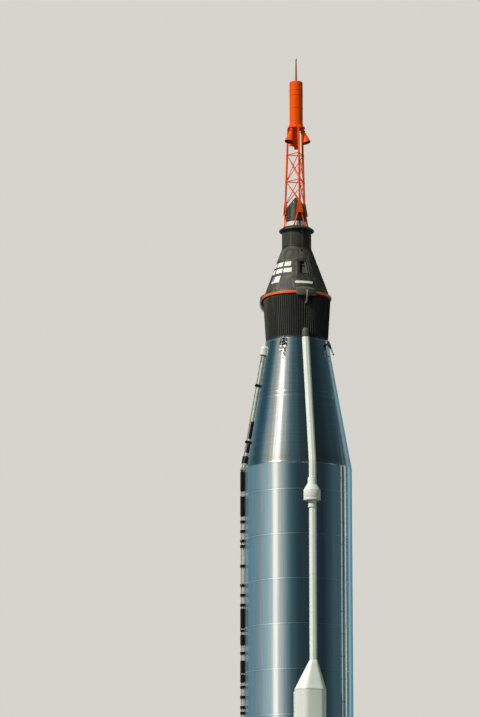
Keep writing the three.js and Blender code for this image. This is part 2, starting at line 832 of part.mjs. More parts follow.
// The outside of a thrust chamber as [radius, distance below the gimbal], down to the mouth.
const BOOSTER_CHAMBER = [
  [150, 110],
  [290, 190],
  [290, 250],
  [245, 270],
  [245, 600],
  [190, 800],
  [250, 930],
  [350, 1150],
  [445, 1500],
  [535, 1950],
  [600, 2440],
  [622, 2445],
];
const SUSTAINER_CHAMBER = [
  [140, 110],
  [255, 190],
  [255, 250],
  [200, 270],
  [200, 520],
  [130, 700],
  [215, 850],
  [330, 1080],
  [450, 1450],
  [540, 1900],
  [590, 2410],
  [612, 2415],
];

function thrustChamber(profile, depth) {
  const wall = 24;
  const lip = [profile.at(-1)[0], depth];
  const throat = profile.findIndex(([radius], i) => i > 4 && radius < profile[i + 1][0]);
  const inner = profile
    .slice(throat, -1)
    .map(([radius, z]) => [radius - wall, z])
    .reverse();
  inner[0][1] = depth;
  const outside = [[0, profile[0][1]], ...profile, lip];
  const closed = [0, inner.at(-1)[1]];
  return turned([...outside, ...inner, closed].map(([radius, z]) => [radius, -z]), 36);
}

function engineWithEars(profile, depth, sizes = PIN) {
  const ears = earsFromAbove(140, sizes).rotateX(Math.PI).rotateZ(Math.PI / 2);
  return join(ears, thrustChamber(profile, depth));
}

function buildEngines() {
  const boosters = [
    ["right", NACELLE.offset],
    ["left", -NACELLE.offset],
  ];
  const boosterDepth = BOOSTER.gimbal - BOOSTER.exit;
  const boosterEngine = engineWithEars(BOOSTER_CHAMBER, boosterDepth);
  for (const [side, x] of boosters) {
    const mount = new THREE.Group();
    mount.position.set(x, 0, BOOSTER.gimbal);
    rocket.add(mount);
    add(`booster_gimbal_${side}`, gimbalCross(), darkSteel, mount);
    add(`booster_engine_${side}`, boosterEngine, nozzleMetal, mount);
  }
  const mount = new THREE.Group();
  mount.position.z = SUSTAINER.gimbal;
  rocket.add(mount);
  add("sustainer_gimbal", gimbalCross(), darkSteel, mount);
  const depth = SUSTAINER.gimbal - SUSTAINER.exit;
  add("sustainer_engine", engineWithEars(SUSTAINER_CHAMBER, depth), nozzleMetal, mount);
}

// Steering engines on the tank's sides
function buildVerniers() {
  const { out, height, cant, housingLow, housingTop } = VERNIER;
  const pivot = TANK.radius + out;
  const section = (half, proud, z) =>
    [
      [-half, -TANK.radius + 60],
      [-half, -TANK.radius - proud * 0.45],
      [-half * 0.55, -TANK.radius - proud],
      [half * 0.55, -TANK.radius - proud],
      [half, -TANK.radius - proud * 0.45],
      [half, -TANK.radius + 60],
    ].map(([x, y]) => vector(x, y, z));
  const cover = loft([section(190, 360, housingLow), section(190, 360, housingLow + 420), section(90, 190, housingTop)]);
  const bracket = block(130, 100, housingLow - height + 120, 0, -TANK.radius - 40, (housingLow + height - 60) / 2);
  const bore = bar(vector(0, -TANK.radius - 300, height), vector(0, -TANK.radius + 100, height), 20 + BORE_CLEARANCE, 20);
  const housing = cut(join(cover, bracket), bore, tankSpace(GAP));

  const yoke = join(
    bar(vector(0, 130, 0), vector(0, 230, 0), 20, 20),
    block(190, 40, 100, 0, 125, 0),
    ...[-1, 1].map((side) => block(24, 170, 60, side * 82, 45, 0)),
  );
  const boredYoke = cut(yoke, bar(vector(-200, 0, 0), vector(200, 0, 0), 15 + BORE_CLEARANCE, 20));
  const chamber = turned(
    [
      [0, 60],
      [50, 60],
      [58, 40],
      [58, -120],
      [34, -180],
      [60, -260],
      [88, -380],
      [80, -380],
      [26, -200],
      [0, -200],
    ],
    28,
  );
  const engine = join(chamber, bar(vector(-92, 0, 0), vector(92, 0, 0), 15, 20)).rotateX(-radians(cant));
  [
    ["right", 90],
    ["left", -90],
  ].forEach(([side, azimuth]) => {
    add(`vernier_housing_${side}`, housing, white, rocket, azimuth);
    const mount = new THREE.Group();
    mount.position.copy(polar(pivot, azimuth, height));
    mount.rotation.z = radians(azimuth);
    rocket.add(mount);
    add(`vernier_yoke_${side}`, boredYoke, darkSteel, mount);
    add(`vernier_engine_${side}`, engine, nozzleMetal, mount);
  });
}

buildTanks();
buildMatingRing();
buildAdapter();
buildCapsule();
buildCabinInside();
buildClampRing();
buildTopOfCapsule();
buildTower();
buildEscapeMotor();
buildRaceway();
buildPods();
buildVentLine();
buildConduits();
buildSkirt();
buildThrustStructure();
buildEngines();
buildVerniers();

export default rocket;
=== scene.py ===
# Space rocket: fine surfaces, materials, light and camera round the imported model.
# Metres. +Z is up, -Y is the front, +X is to the right.
# Azimuths are in degrees, 0 at the front and 90 at the right.
import math

import bmesh
import bpy
from mathutils import Matrix, Vector


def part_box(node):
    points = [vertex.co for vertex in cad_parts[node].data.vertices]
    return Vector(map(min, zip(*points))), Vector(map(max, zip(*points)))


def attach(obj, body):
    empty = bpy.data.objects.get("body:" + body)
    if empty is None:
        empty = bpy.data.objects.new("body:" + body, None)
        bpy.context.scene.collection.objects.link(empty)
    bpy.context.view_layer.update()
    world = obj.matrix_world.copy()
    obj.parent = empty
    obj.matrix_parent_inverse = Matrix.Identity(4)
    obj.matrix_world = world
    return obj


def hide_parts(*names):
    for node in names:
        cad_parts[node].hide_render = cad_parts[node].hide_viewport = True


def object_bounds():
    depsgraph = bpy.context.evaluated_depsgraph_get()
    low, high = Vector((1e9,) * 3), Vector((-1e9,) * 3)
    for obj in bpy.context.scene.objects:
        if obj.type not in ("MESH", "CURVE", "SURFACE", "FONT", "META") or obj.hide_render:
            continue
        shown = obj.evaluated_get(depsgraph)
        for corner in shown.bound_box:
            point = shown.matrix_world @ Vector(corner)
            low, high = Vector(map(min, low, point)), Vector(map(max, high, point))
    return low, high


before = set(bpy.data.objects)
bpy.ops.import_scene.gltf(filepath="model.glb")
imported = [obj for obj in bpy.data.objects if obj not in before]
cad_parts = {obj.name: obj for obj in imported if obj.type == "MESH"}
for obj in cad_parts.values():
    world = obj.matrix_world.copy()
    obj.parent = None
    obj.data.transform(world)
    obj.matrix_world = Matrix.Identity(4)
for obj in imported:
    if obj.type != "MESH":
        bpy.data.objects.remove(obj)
cad_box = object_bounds()
scene = bpy.context.scene


# Heights and radii that come from the frame
def low(node):
    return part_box(node)[0].z


def high(node):
    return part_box(node)[1].z


def outer(node):
    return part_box(node)[1].x


TANK = outer("fuel_tank")
TANK_TOP = high("oxidizer_tank")
TANK_TOP_RADIUS = 0.880
SHOULDER = 15.891  # where the tank begins to taper
TAPER_WELDS = (17.815, 17.945)
STRAW_BAND = SHOULDER + 0.16
GOLD_BAND = 17.95
SPLIT = high("fuel_tank")
TAPER = (TANK - TANK_TOP_RADIUS) / (TANK_TOP - SHOULDER)
WELD_PITCH = 1.243
FIRST_WELD = 15.111
CONE_BASE = low("cabin_shell")
CONE_RADIUS = outer("cabin_shell")
NECK = high("cabin_shell")
NECK_RADIUS = outer("recovery_section")
CONE_SLOPE = math.tan(math.radians(20))
RACEWAY_RADIUS = 0.097


def tank_radius(z):
    return TANK - max(0.0, z - SHOULDER) * TAPER


def cone_radius(z):
    return CONE_RADIUS - (z - CONE_BASE) * CONE_SLOPE


# Small tools
def turns(count):
    """A full circle of angles, in radians."""
    return [2 * math.pi * i / count for i in range(count)]


def point_at(azimuth, radius, z):
    """A point at an azimuth, a distance from the rocket's axis and a height."""
    angle = math.radians(azimuth)
    return Vector((radius * math.sin(angle), -radius * math.cos(angle), z))


def clip(value):
    return min(1.0, max(0.0, value))


def bow(start, stop, count):
    """Even steps from one value to another, both of them included."""
    return [start + (stop - start) * i / (count - 1) for i in range(count)]


# Camera: on the floor, 95 m in front and to the left, looking up
CAMERA_AZIMUTH = -16
CAMERA_AT = (-26.255, -91.772, -0.95)
CAMERA_TURN = -15
CAMERA_RISE = 11.852
FOCAL_LENGTH = 173.55
camera_data = bpy.data.cameras.new("camera")
camera_data.lens = FOCAL_LENGTH
camera_data.sensor_width = 36
camera_data.clip_start = 1
camera_data.clip_end = 3000
camera = bpy.data.objects.new("camera", camera_data)
camera.location = CAMERA_AT
camera.rotation_euler = (math.radians(90 + CAMERA_RISE), 0, math.radians(CAMERA_TURN))
scene.collection.objects.link(camera)
scene.camera = camera


# Colours, written as they look on a screen
def screen(red, green, blue, strength=1.0):
    def linear(value):
        share = value / 255
        return share / 12.92 if share <= 0.04045 else ((share + 0.055) / 1.055) ** 2.4

    return (*(linear(v) * strength for v in (red, green, blue)), 1.0)


# Node helpers
HOOPS_APART = 11.0  # between the noise of one hoop of the tank and the next


class Nodes:
    """A node tree that is built by short calls: each gives back the output it makes."""

    def __init__(self, tree):
        self.tree = tree
        tree.nodes.clear()

    def node(self, kind, **settings):
        made = self.tree.nodes.new(kind)
        for name, value in settings.items():
            setattr(made, name, value)
        return made

    def feed(self, socket, value):
        if isinstance(value, bpy.types.NodeSocket):
            self.tree.links.new(value, socket)
        else:
            socket.default_value = value

    def math(self, operation, a, b=0.0):
        made = self.node("ShaderNodeMath", operation=operation)
        self.feed(made.inputs[0], a)
        self.feed(made.inputs[1], b)
        return made.outputs[0]

    def vector(self, operation, a, b=None):
        made = self.node("ShaderNodeVectorMath", operation=operation)
        self.feed(made.inputs[0], a)
        if b is not None:
            self.feed(made.inputs[1], b)
        return made.outputs[0]

    def parts(self, vector):
        """The X, Y and Z of a vector."""
        made = self.node("ShaderNodeSeparateXYZ")
        self.feed(made.inputs[0], vector)
        return made.outputs

    def span(self, value, from_low, from_high, to_low=0.0, to_high=1.0):
        made = self.node("ShaderNodeMapRange")
        for socket, given in zip(made.inputs, (value, from_low, from_high, to_low, to_high)):
            self.feed(socket, given)
        return made.outputs[0]

    def mix(self, factor, a, b, blend="MIX"):
        made = self.node("ShaderNodeMix", data_type="RGBA", blend_type=blend)
        self.feed(made.inputs["Factor"], factor)
        self.feed(made.inputs[6], a)
        self.feed(made.inputs[7], b)
        return made.outputs[2]

    def place(self, scale=(1, 1, 1)):
        """The piece's own coordinates, in metres, times a scale."""
        mapping = self.node("ShaderNodeMapping")
        self.tree.links.new(self.node("ShaderNodeTexCoord").outputs["Object"], mapping.inputs["Vector"])
        mapping.inputs["Scale"].default_value = scale
        return mapping.outputs[0]

    def unrolled(self, stretch):
        """Coordinates on a unit drum round Z: streaks follow a cone's sides and break at each hoop's weld."""
        here = self.node("ShaderNodeTexCoord").outputs["Object"]
        drum = self.vector("NORMALIZE", self.vector("MULTIPLY", here, (1, 1, 0)))
        z = self.parts(here)[2]
        hoop = self.math("FLOOR", self.math("DIVIDE", self.math("SUBTRACT", z, FIRST_WELD), WELD_PITCH))
        shift = self.math("MULTIPLY", self.math("MINIMUM", hoop, 0.0), HOOPS_APART)
        rise = self.node("ShaderNodeCombineXYZ")
        self.feed(rise.inputs[2], self.math("ADD", z, shift))
        return self.vector("MULTIPLY", self.vector("ADD", drum, rise.outputs[0]), stretch)

    def noise(self, scale, stretch=(1, 1, 1), detail=3.0, roughness=0.55, rolled=False):
        made = self.node("ShaderNodeTexNoise")
        self.feed(made.inputs["Vector"], self.unrolled(stretch) if rolled else self.place(stretch))
        made.inputs["Scale"].default_value = scale
        made.inputs["Detail"].default_value = detail
        made.inputs["Roughness"].default_value = roughness
        return made.outputs["Fac"]

    def ramp(self, factor, stops, ease="LINEAR"):
        made = self.node("ShaderNodeValToRGB")
        made.color_ramp.interpolation = ease
        points = made.color_ramp.elements
        while len(points) < len(stops):
            points.new(0.5)
        for point, (position, color) in zip(points, stops):
            point.position = position
            point.color = color
        self.feed(made.inputs[0], factor)
        return made.outputs[0]

    def surface(self, inputs):
        """The material's shader, with a value or an output for each input that is named."""
        shader = self.node("ShaderNodeBsdfPrincipled")
        for name, value in inputs.items():
            self.feed(shader.inputs[name], value)
        self.feed(self.node("ShaderNodeOutputMaterial").inputs[0], shader.outputs[0])


def new_material(name):
    made = bpy.data.materials.new(name)
    made.use_nodes = True
    return made, Nodes(made.node_tree)


# Light: a soft sun from the left behind the camera, and a studio of broad panels that the steel mirrors
SKY = (92, 138, 154)
HAZE = (146, 168, 172)
LAMP = (255, 252, 240)
SOFT = (208, 205, 192)
SLATE = (62, 88, 95)
DUSK = (42, 62, 67)
NIGHT = (30, 44, 48)
DEEP = (50, 82, 96)
PALE = (208, 220, 208)
BACKDROP = (214, 212, 205)

# Each stop: degrees round from the camera, positive to its right, then the panel's colour and its strength
LOW_PANELS = [
    (-180, SLATE, 1.2),
    (-152, HAZE, 0.85),
    (-120, SKY, 0.97),
    (-92, HAZE, 0.72),
    (-72, HAZE, 1.08),
    (-61, HAZE, 1.3),
    (-55, SOFT, 1.0),
    (-51, LAMP, 1.15),
    (-45, LAMP, 1.2),
    (-41, SOFT, 1.0),
    (-38, SOFT, 0.9),
    (-30, HAZE, 0.98),
    (-21, HAZE, 0.47),
    (-13, SLATE, 1.0),
    (2, DUSK, 0.92),
    (36, DUSK, 0.74),
    (54, NIGHT, 0.95),
    (70, DUSK, 1.1),
    (84, SLATE, 0.95),
    (98, SLATE, 0.9),
    (109, HAZE, 0.4),
    (116.5, HAZE, 0.4),
    (119, SOFT, 1.45),
    (122, SOFT, 1.45),
    (124, SLATE, 0.9),
    (131, SLATE, 1.5),
    (136, SKY, 1.35),
    (141, HAZE, 1.3),
    (147, SKY, 1.05),
    (160, SKY, 0.86),
    (180, SLATE, 1.2),
]
HIGH_PANELS = [
    (-180, SKY, 0.5),
    (-146, HAZE, 0.35),
    (-128, SLATE, 1.5),
    (-112, DEEP, 0.85),
    (-100, DEEP, 1.0),
    (-91, SLATE, 1.3),
    (-80, HAZE, 0.8),
    (-70, SOFT, 0.62),
    (-62, SOFT, 0.72),
    (-56, SOFT, 1.05),
    (-51, LAMP, 1.25),
    (-46, LAMP, 1.1),
    (-41, SOFT, 0.85),
    (-36, SOFT, 0.68),
    (-27, HAZE, 0.7),
    (-19, HAZE, 0.33),
    (-11, SLATE, 1.1),
    (-2, SLATE, 0.85),
    (8, DUSK, 0.95),
    (20, DUSK, 0.8),
    (44, NIGHT, 0.75),
    (64, NIGHT, 0.85),
    (76, NIGHT, 1.2),
    (88, DUSK, 0.85),
    (102, DUSK, 0.95),
    (114, DEEP, 0.75),
    (126, DEEP, 0.6),
    (136, HAZE, 0.55),
    (150, HAZE, 0.5),
    (180, SKY, 0.5),
]

# The light on painted surfaces comes from all round, and more of it from the right
FILL_PANELS = [
    (-180, PALE, 0.10),
    (-30, PALE, 0.12),
    (20, PALE, 0.42),
    (85, PALE, 0.45),
    (120, PALE, 0.12),
    (180, PALE, 0.10),
]

MIRRORED_STRENGTH = 1.35
# Sines of the heights above the horizon at which the low panels give way to the high ones, and those to haze
HIGH_BEGINS = (0.22, 0.36)
ZENITH_BEGINS = (0.7, 0.95)
SUN = {
    "azimuth": CAMERA_AZIMUTH - 53, "height": 40, "spread": 9, "strength": 3.75,
    "color": (1.0, 0.965, 0.905)
}


def build_world():
    world = bpy.data.worlds.new("studio")
    scene.world = world
    world.use_nodes = True
    nodes = Nodes(world.node_tree)
    turn = nodes.node("ShaderNodeVectorRotate", rotation_type="Z_AXIS")
    nodes.feed(turn.inputs["Vector"], nodes.node("ShaderNodeTexCoord").outputs["Generated"])
    turn.inputs["Angle"].default_value = math.radians(-CAMERA_AZIMUTH)
    x, y, z = nodes.parts(turn.outputs[0])
    azimuth = nodes.math("ARCTAN2", x, nodes.math("MULTIPLY", y, -1.0))
    around = nodes.span(azimuth, -math.pi, math.pi)

    def panels(stops):
        return nodes.ramp(around, [((a + 180) / 360, screen(*color, power)) for a, color, power in stops])

    def background(color, strength=1.0):
        made = nodes.node("ShaderNodeBackground")
        nodes.feed(made.inputs["Color"], color)
        made.inputs["Strength"].default_value = strength
        return made

    def choose(factor, a, b):
        made = nodes.node("ShaderNodeMixShader")
        nodes.feed(made.inputs[0], factor)
        nodes.feed(made.inputs[1], a.outputs[0])
        nodes.feed(made.inputs[2], b.outputs[0])
        return made

    raised = nodes.mix(nodes.span(z, *HIGH_BEGINS), panels(LOW_PANELS), panels(HIGH_PANELS))
    zenith = nodes.mix(nodes.span(z, *ZENITH_BEGINS), raised, screen(*HAZE, 0.9))
    path = nodes.node("ShaderNodeLightPath")
    fill = background(panels(FILL_PANELS))
    lit = choose(path.outputs["Is Glossy Ray"], fill, background(zenith, MIRRORED_STRENGTH))
    shown = choose(path.outputs["Is Camera Ray"], lit, background(screen(*BACKDROP)))
    nodes.feed(nodes.node("ShaderNodeOutputWorld").inputs[0], shown.outputs[0])


def build_sun():
    data = bpy.data.lights.new("sun", "SUN")
    data.energy = SUN["strength"]
    data.angle = math.radians(SUN["spread"])
    data.color = SUN["color"]
    sun = bpy.data.objects.new("sun", data)
    height = math.radians(SUN["height"])
    towards = point_at(SUN["azimuth"], math.cos(height), math.sin(height))
    sun.rotation_mode = "QUATERNION"
    sun.rotation_quaternion = towards.to_track_quat("Z", "Y")
    scene.collection.objects.link(sun)


def build_floor():
    """A pale floor: light bounces up from its inner disc only, and the steel does not mirror it."""
    material, nodes = new_material("floor")
    tone = nodes.mix(nodes.noise(0.6), screen(205, 203, 197), screen(212, 210, 204))
    nodes.surface({"Base Color": tone, "Roughness": 0.85})
    count = 96

    def ring(radius):
        return [(radius * math.cos(t), radius * math.sin(t), 0) for t in turns(count)]

    for name, inner, reach in (("floor", 0.0, 7.0), ("floor_beyond", 7.0, 900.0)):
        mesh = bpy.data.meshes.new(name)
        if inner:
            faces = [(i, (i + 1) % count, count + (i + 1) % count, count + i) for i in range(count)]
            mesh.from_pydata(ring(inner) + ring(reach), [], faces)
        else:
            mesh.from_pydata(ring(reach), [], [tuple(range(count))])
        mesh.materials.append(material)
        floor = bpy.data.objects.new(name, mesh)
        floor.location.z = cad_box[0].z - 0.002
        floor.visible_diffuse = not inner
        floor.visible_glossy = False
        scene.collection.objects.link(floor)


scene.view_settings.view_transform = "Standard"
build_world()
build_sun()
build_floor()


# Materials
def finish(
    name, tone, shade, metallic=0.0, roughness=(0.35, 0.5), patch=1.5, stretch=(1, 1, 1), grain=120.0,
    depth=0.0004, streak=None, streak_share=0.35, specular=0.5, seams=None, rolled=False
):
    """A painted or metal surface: two tones in patches, streaks down it, uneven gloss and a fine grain."""
    material, nodes = new_material(name)
    patches = nodes.span(nodes.noise(patch, stretch, 4.0, rolled=rolled), 0.3, 0.7)
    color = nodes.mix(patches, screen(*tone), screen(*shade))
    if streak:
        runs = nodes.span(nodes.noise(7.0, (1, 1, 0.06), 5.0, 0.65), 0.52, 0.75, 0.0, streak_share)
        color = nodes.mix(runs, color, screen(*streak))
    gloss = nodes.span(nodes.noise(patch * 3, stretch, 5.0, rolled=rolled), 0.3, 0.7, *roughness)
    if seams:
        color, gloss = seams(nodes, color, gloss)
    bump = nodes.node("ShaderNodeBump")
    bump.inputs["Distance"].default_value = depth
    nodes.feed(bump.inputs["Height"], nodes.noise(grain, stretch, 8.0 if rolled else 4.0, 0.62, rolled))
    nodes.surface({
        "Base Color": color, "Metallic": metallic, "Specular IOR Level": specular, "Roughness": gloss,
        "Normal": bump.outputs[0],
    })
    return material


ROLLED = (7.5, 7.5, 0.10)  # rolled sheet has its grain in long streaks up the tank


def weld_tints(nodes, color, gloss):
    """Tints and dull beads at the tank's ring welds, and a straw and a gold band round its taper."""
    def times(a, b):
        return nodes.math("MULTIPLY", a, b)

    def away_from(value, level):
        return nodes.math("ABSOLUTE", nodes.math("SUBTRACT", value, level))

    x, y, z = nodes.parts(nodes.place())
    away = nodes.math("PINGPONG", nodes.math("SUBTRACT", z, FIRST_WELD), WELD_PITCH / 2)
    patchy = nodes.span(nodes.noise(1.3, (1, 1, 1), 2.0), 0.35, 0.65, 0.25, 1.0)
    on_barrel = nodes.math("LESS_THAN", z, SHOULDER)
    beside = times(nodes.span(away, 0.012, 0.06, 0.5, 0.0), on_barrel)
    tinted = nodes.mix(times(beside, patchy), color, screen(170, 176, 186))
    straw = times(nodes.span(away_from(z, STRAW_BAND), 0.02, 0.16, 0.7, 0.0), patchy)
    tinted = nodes.mix(straw, tinted, screen(196, 164, 118))
    gold = times(nodes.span(away_from(z, GOLD_BAND), 0.01, 0.1, 0.5, 0.0), patchy)
    tinted = nodes.mix(gold, tinted, screen(202, 186, 150))
    between, half = sum(TAPER_WELDS) / 2, (TAPER_WELDS[1] - TAPER_WELDS[0]) / 2
    from_taper_weld = away_from(away_from(z, between), half)
    bead = nodes.math("ADD", times(nodes.span(away, 0.005, 0.014), -1.0), 1.0)
    bead = times(bead, on_barrel)
    bead = nodes.math("MAXIMUM", bead, nodes.span(from_taper_weld, 0.004, 0.012, 0.4, 0.0))
    tinted = nodes.mix(bead, tinted, screen(232, 236, 238))
    gloss = nodes.math("ADD", gloss, times(bead, 0.16))
    # The skin is dull where the vent and pressure line is fixed to it.
    beside_line = nodes.span(nodes.math("ABSOLUTE", y), 0.20, 0.27, 0.34, 0.0)
    on_left = times(nodes.math("LESS_THAN", x, 0.0), on_barrel)
    # Sheets differ a little from streak to streak, and the taper keeps faint rings from its rolling.
    sheets = nodes.span(nodes.noise(9.0, ROLLED, 6.0, 0.65, rolled=True), 0.35, 0.65, 0.0, 0.26)
    tinted = nodes.mix(sheets, tinted, screen(158, 164, 164))
    rings = nodes.noise(3.4, (0.3, 0.3, 7.0), 5.0, 0.62, rolled=True)
    off_barrel = nodes.math("SUBTRACT", 1.0, on_barrel)
    rings = times(nodes.span(rings, 0.45, 0.68, 0.0, 0.3), off_barrel)
    tinted = nodes.mix(rings, tinted, screen(166, 158, 148))
    return tinted, nodes.math("ADD", gloss, times(beside_line, on_left))


STEEL = finish(
    "polished_steel", (212, 218, 222), (196, 203, 208), metallic=1.0, roughness=(0.08, 0.15), patch=0.8,
    stretch=ROLLED, grain=2.2, depth=0.0011, seams=weld_tints, rolled=True
)
SKIRT_STEEL = finish(
    "skirt_steel", (200, 204, 206), (176, 181, 184), metallic=1.0, roughness=(0.2, 0.34), patch=1.1,
    stretch=(3, 3, 0.4), grain=30.0, depth=0.0008, streak=(120, 118, 110), streak_share=0.25
)
DARK_STEEL = finish(
    "dark_steel", (96, 97, 98), (70, 71, 72), metallic=0.9, roughness=(0.3, 0.5), patch=9.0, depth=0.0006
)
NOZZLE_METAL = finish(
    "nozzle_metal", (150, 146, 138), (118, 110, 100), metallic=1.0, roughness=(0.28, 0.45), patch=2.2,
    stretch=(3, 3, 0.6), depth=0.0006, streak=(78, 70, 62)
)
BLACK = finish(
    "black_panel", (45, 45, 37), (29, 30, 24), roughness=(0.42, 0.58), specular=0.34, patch=3.2,
    stretch=(2, 2, 0.4), grain=90.0, depth=0.0006, streak=(80, 78, 66), streak_share=0.5
)
CABIN_BLACK = finish(
    "cabin_panel", (58, 56, 45), (38, 37, 30), roughness=(0.42, 0.58), specular=0.34, patch=3.2,
    stretch=(2, 2, 0.4), grain=90.0, depth=0.0006, streak=(112, 108, 92), streak_share=0.55
)
ORANGE = finish(
    "orange_paint", (254, 96, 4), (244, 82, 4), roughness=(0.3, 0.45), specular=0.1, patch=4.0,
    stretch=(1, 1, 0.5), depth=0.0003, streak=(196, 44, 6), streak_share=0.25
)
CLAMP_ORANGE = finish(
    "clamp_paint", (252, 124, 54), (238, 100, 44), roughness=(0.35, 0.5), patch=7.0, streak=(140, 44, 26),
    specular=0.25
)
SPIKE_PAINT = finish("spike_paint", (214, 88, 78), (182, 62, 58), roughness=(0.3, 0.45), patch=9.0)
WHITE = finish(
    "white_paint", (229, 233, 226), (219, 223, 214), roughness=(0.3, 0.45), specular=0.35, patch=1.6,
    stretch=(1, 1, 0.3), depth=0.0003, streak=(190, 194, 180), streak_share=0.35
)
GREY = finish("grey_paint", (150, 153, 149), (124, 127, 124), metallic=0.3, roughness=(0.35, 0.55), patch=5.0)
RUBBER = finish(
    "black_sleeve", (11, 12, 11), (7, 8, 8), roughness=(0.5, 0.7), patch=14.0, depth=0.0008, specular=0.18
)
WEBBING = finish(
    "strap_webbing", (158, 156, 144), (128, 124, 112), roughness=(0.7, 0.85), patch=20.0, grain=300.0,
    specular=0.2
)
COVER = finish(
    "cover_paint", (96, 99, 90), (78, 81, 73), roughness=(0.42, 0.56), patch=5.0, streak=(108, 108, 95),
    specular=0.2
)
# Light grey for the window: a painted reflection on the panel behind the pane, and a painted highlight on the
# right jamb.
PAINTED_SHEEN_GREY = finish("painted_sheen_grey", (94, 94, 86), (80, 81, 73), roughness=(0.5, 0.65), patch=8.0, specular=0.15)
PIPE_GREY = finish(
    "line_tubes", (186, 187, 174), (156, 158, 148), metallic=0.35, roughness=(0.35, 0.5), patch=9.0
)
PIPE_STEEL = finish(
    "feed_pipes", (150, 146, 138), (120, 116, 110), metallic=0.85, roughness=(0.3, 0.5), patch=7.0
)
CONDUIT = finish(
    "conduit_paint", (240, 243, 238), (226, 231, 226), metallic=1.0, roughness=(0.04, 0.08), patch=6.0,
    depth=0.0001
)
PALE_METAL = finish(
    "pale_metal", (206, 198, 192), (176, 168, 162), metallic=0.6, roughness=(0.3, 0.45), patch=20.0
)
SOOT = finish("burnt_lining", (150, 54, 20), (104, 36, 16), roughness=(0.6, 0.8), patch=12.0)
BLUE = finish("blue_paint", (112, 118, 168), (98, 106, 156), roughness=(0.35, 0.5), patch=6.0)
IRON = finish(
    "shackle_iron", (52, 49, 46), (34, 32, 31), metallic=0.6, roughness=(0.4, 0.6), patch=16.0, depth=0.0008
)
CLOTH = finish(
    "couch_cloth", (112, 118, 100), (88, 94, 80), roughness=(0.75, 0.9), patch=12.0, grain=420.0,
    depth=0.0012
)


def window_glass():
    material, nodes = new_material("window_glass")
    nodes.surface({
        "Base Color": nodes.mix(nodes.noise(6.0), screen(6, 7, 7), screen(4, 5, 5)),
        "Roughness": nodes.span(nodes.noise(30.0), 0.3, 0.8, 0.03, 0.09),
        "Transmission Weight": 0.3,
        "Specular IOR Level": 0.09,
        "IOR": 1.5,
    })
    return material


GLASS = window_glass()

# The slot that a finish stands for, wherever it always stands for the same one
SLOTS = {
    "polished_steel": [STEEL, SKIRT_STEEL],
    "dark_steel": [DARK_STEEL, IRON],
    "black_panel": [BLACK, CABIN_BLACK, PAINTED_SHEEN_GREY, COVER],
    "orange_paint": [ORANGE, CLAMP_ORANGE, SPIKE_PAINT],
    "white_paint": [WHITE],
    "grey_paint": [CONDUIT, GREY],
    "couch_cloth": [CLOTH],
    "nozzle_metal": [NOZZLE_METAL],
    "window_glass": [GLASS],
}
SLOT_OF = {look.name: slot for slot, looks in SLOTS.items() for look in looks}

# Every CAD node gets its finish. Nodes that a finer piece stands for are hidden further down.
NODE_FINISHES = [
    (STEEL, ["oxidizer_tank", "fuel_tank"]),
    (SKIRT_STEEL, ["skirt_front", "skirt_rear", "nacelle_right", "nacelle_left"]),
    (DARK_STEEL, ["mating_ring", "heat_shield", "thrust_frame", "thrust_cone", "vent_tubes"]),
    (DARK_STEEL, ["booster_gimbal_right", "booster_gimbal_left", "sustainer_gimbal"]),
    (DARK_STEEL, ["vernier_yoke_right", "vernier_yoke_left"]),
    (NOZZLE_METAL, ["booster_engine_right", "booster_engine_left", "sustainer_engine"]),
    (NOZZLE_METAL, ["vernier_engine_right", "vernier_engine_left"]),
    (BLACK, ["adapter", "adapter_blister", "cabin_shell", "side_hatch", "recovery_section", "tower_flange"]),
    (BLACK, ["antenna_fairing", "clamp_fairing_1", "clamp_fairing_2", "clamp_fairing_3"]),
    (CLAMP_ORANGE, ["clamp_ring"]),
    (SPIKE_PAINT, ["aerospike"]),
    (ORANGE, ["escape_tower", "motor_collar", "escape_motor", "jettison_motor"]),
    (ORANGE, ["escape_nozzle_1", "escape_nozzle_2", "escape_nozzle_3"]),
    (WHITE, ["antenna_insulator", "raceway_upper", "raceway_lower", "gyro_housing", "vent_cap"]),
    (WHITE, ["equipment_pod_front", "equipment_pod_rear", "vernier_housing_right", "vernier_housing_left"]),
    (GREY, ["instrument_panel", "pressure_line", "base_heat_shield"]),
    (WHITE, ["instrument_conduit_1", "instrument_conduit_2"]),
    (GLASS, ["cabin_window"]),
    (CLOTH, ["pilot_couch"]),
]
for look, names in NODE_FINISHES:
    for name in names:
        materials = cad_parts[name].data.materials
        materials.clear()
        materials.append(look)


# Shape tools
def about(axis, degrees):
    return Matrix.Rotation(math.radians(degrees), 4, axis)


def shifted(x, y, z):
    return Matrix.Translation((x, y, z))


def near(azimuth, radius=0.0, z=0.0, tilt=0.0, x=0.0):
    """A frame on the rocket's side: its -Y points out and its Z up. tilt leans its top inwards."""
    return about("Z", azimuth) @ shifted(x, -radius, z) @ about("X", -tilt)


def round_about(count, radius, z, offset=0.0):
    """Frames at even steps round the rocket's axis."""
    return [near(360 * (i + offset) / count, radius, z) for i in range(count)]


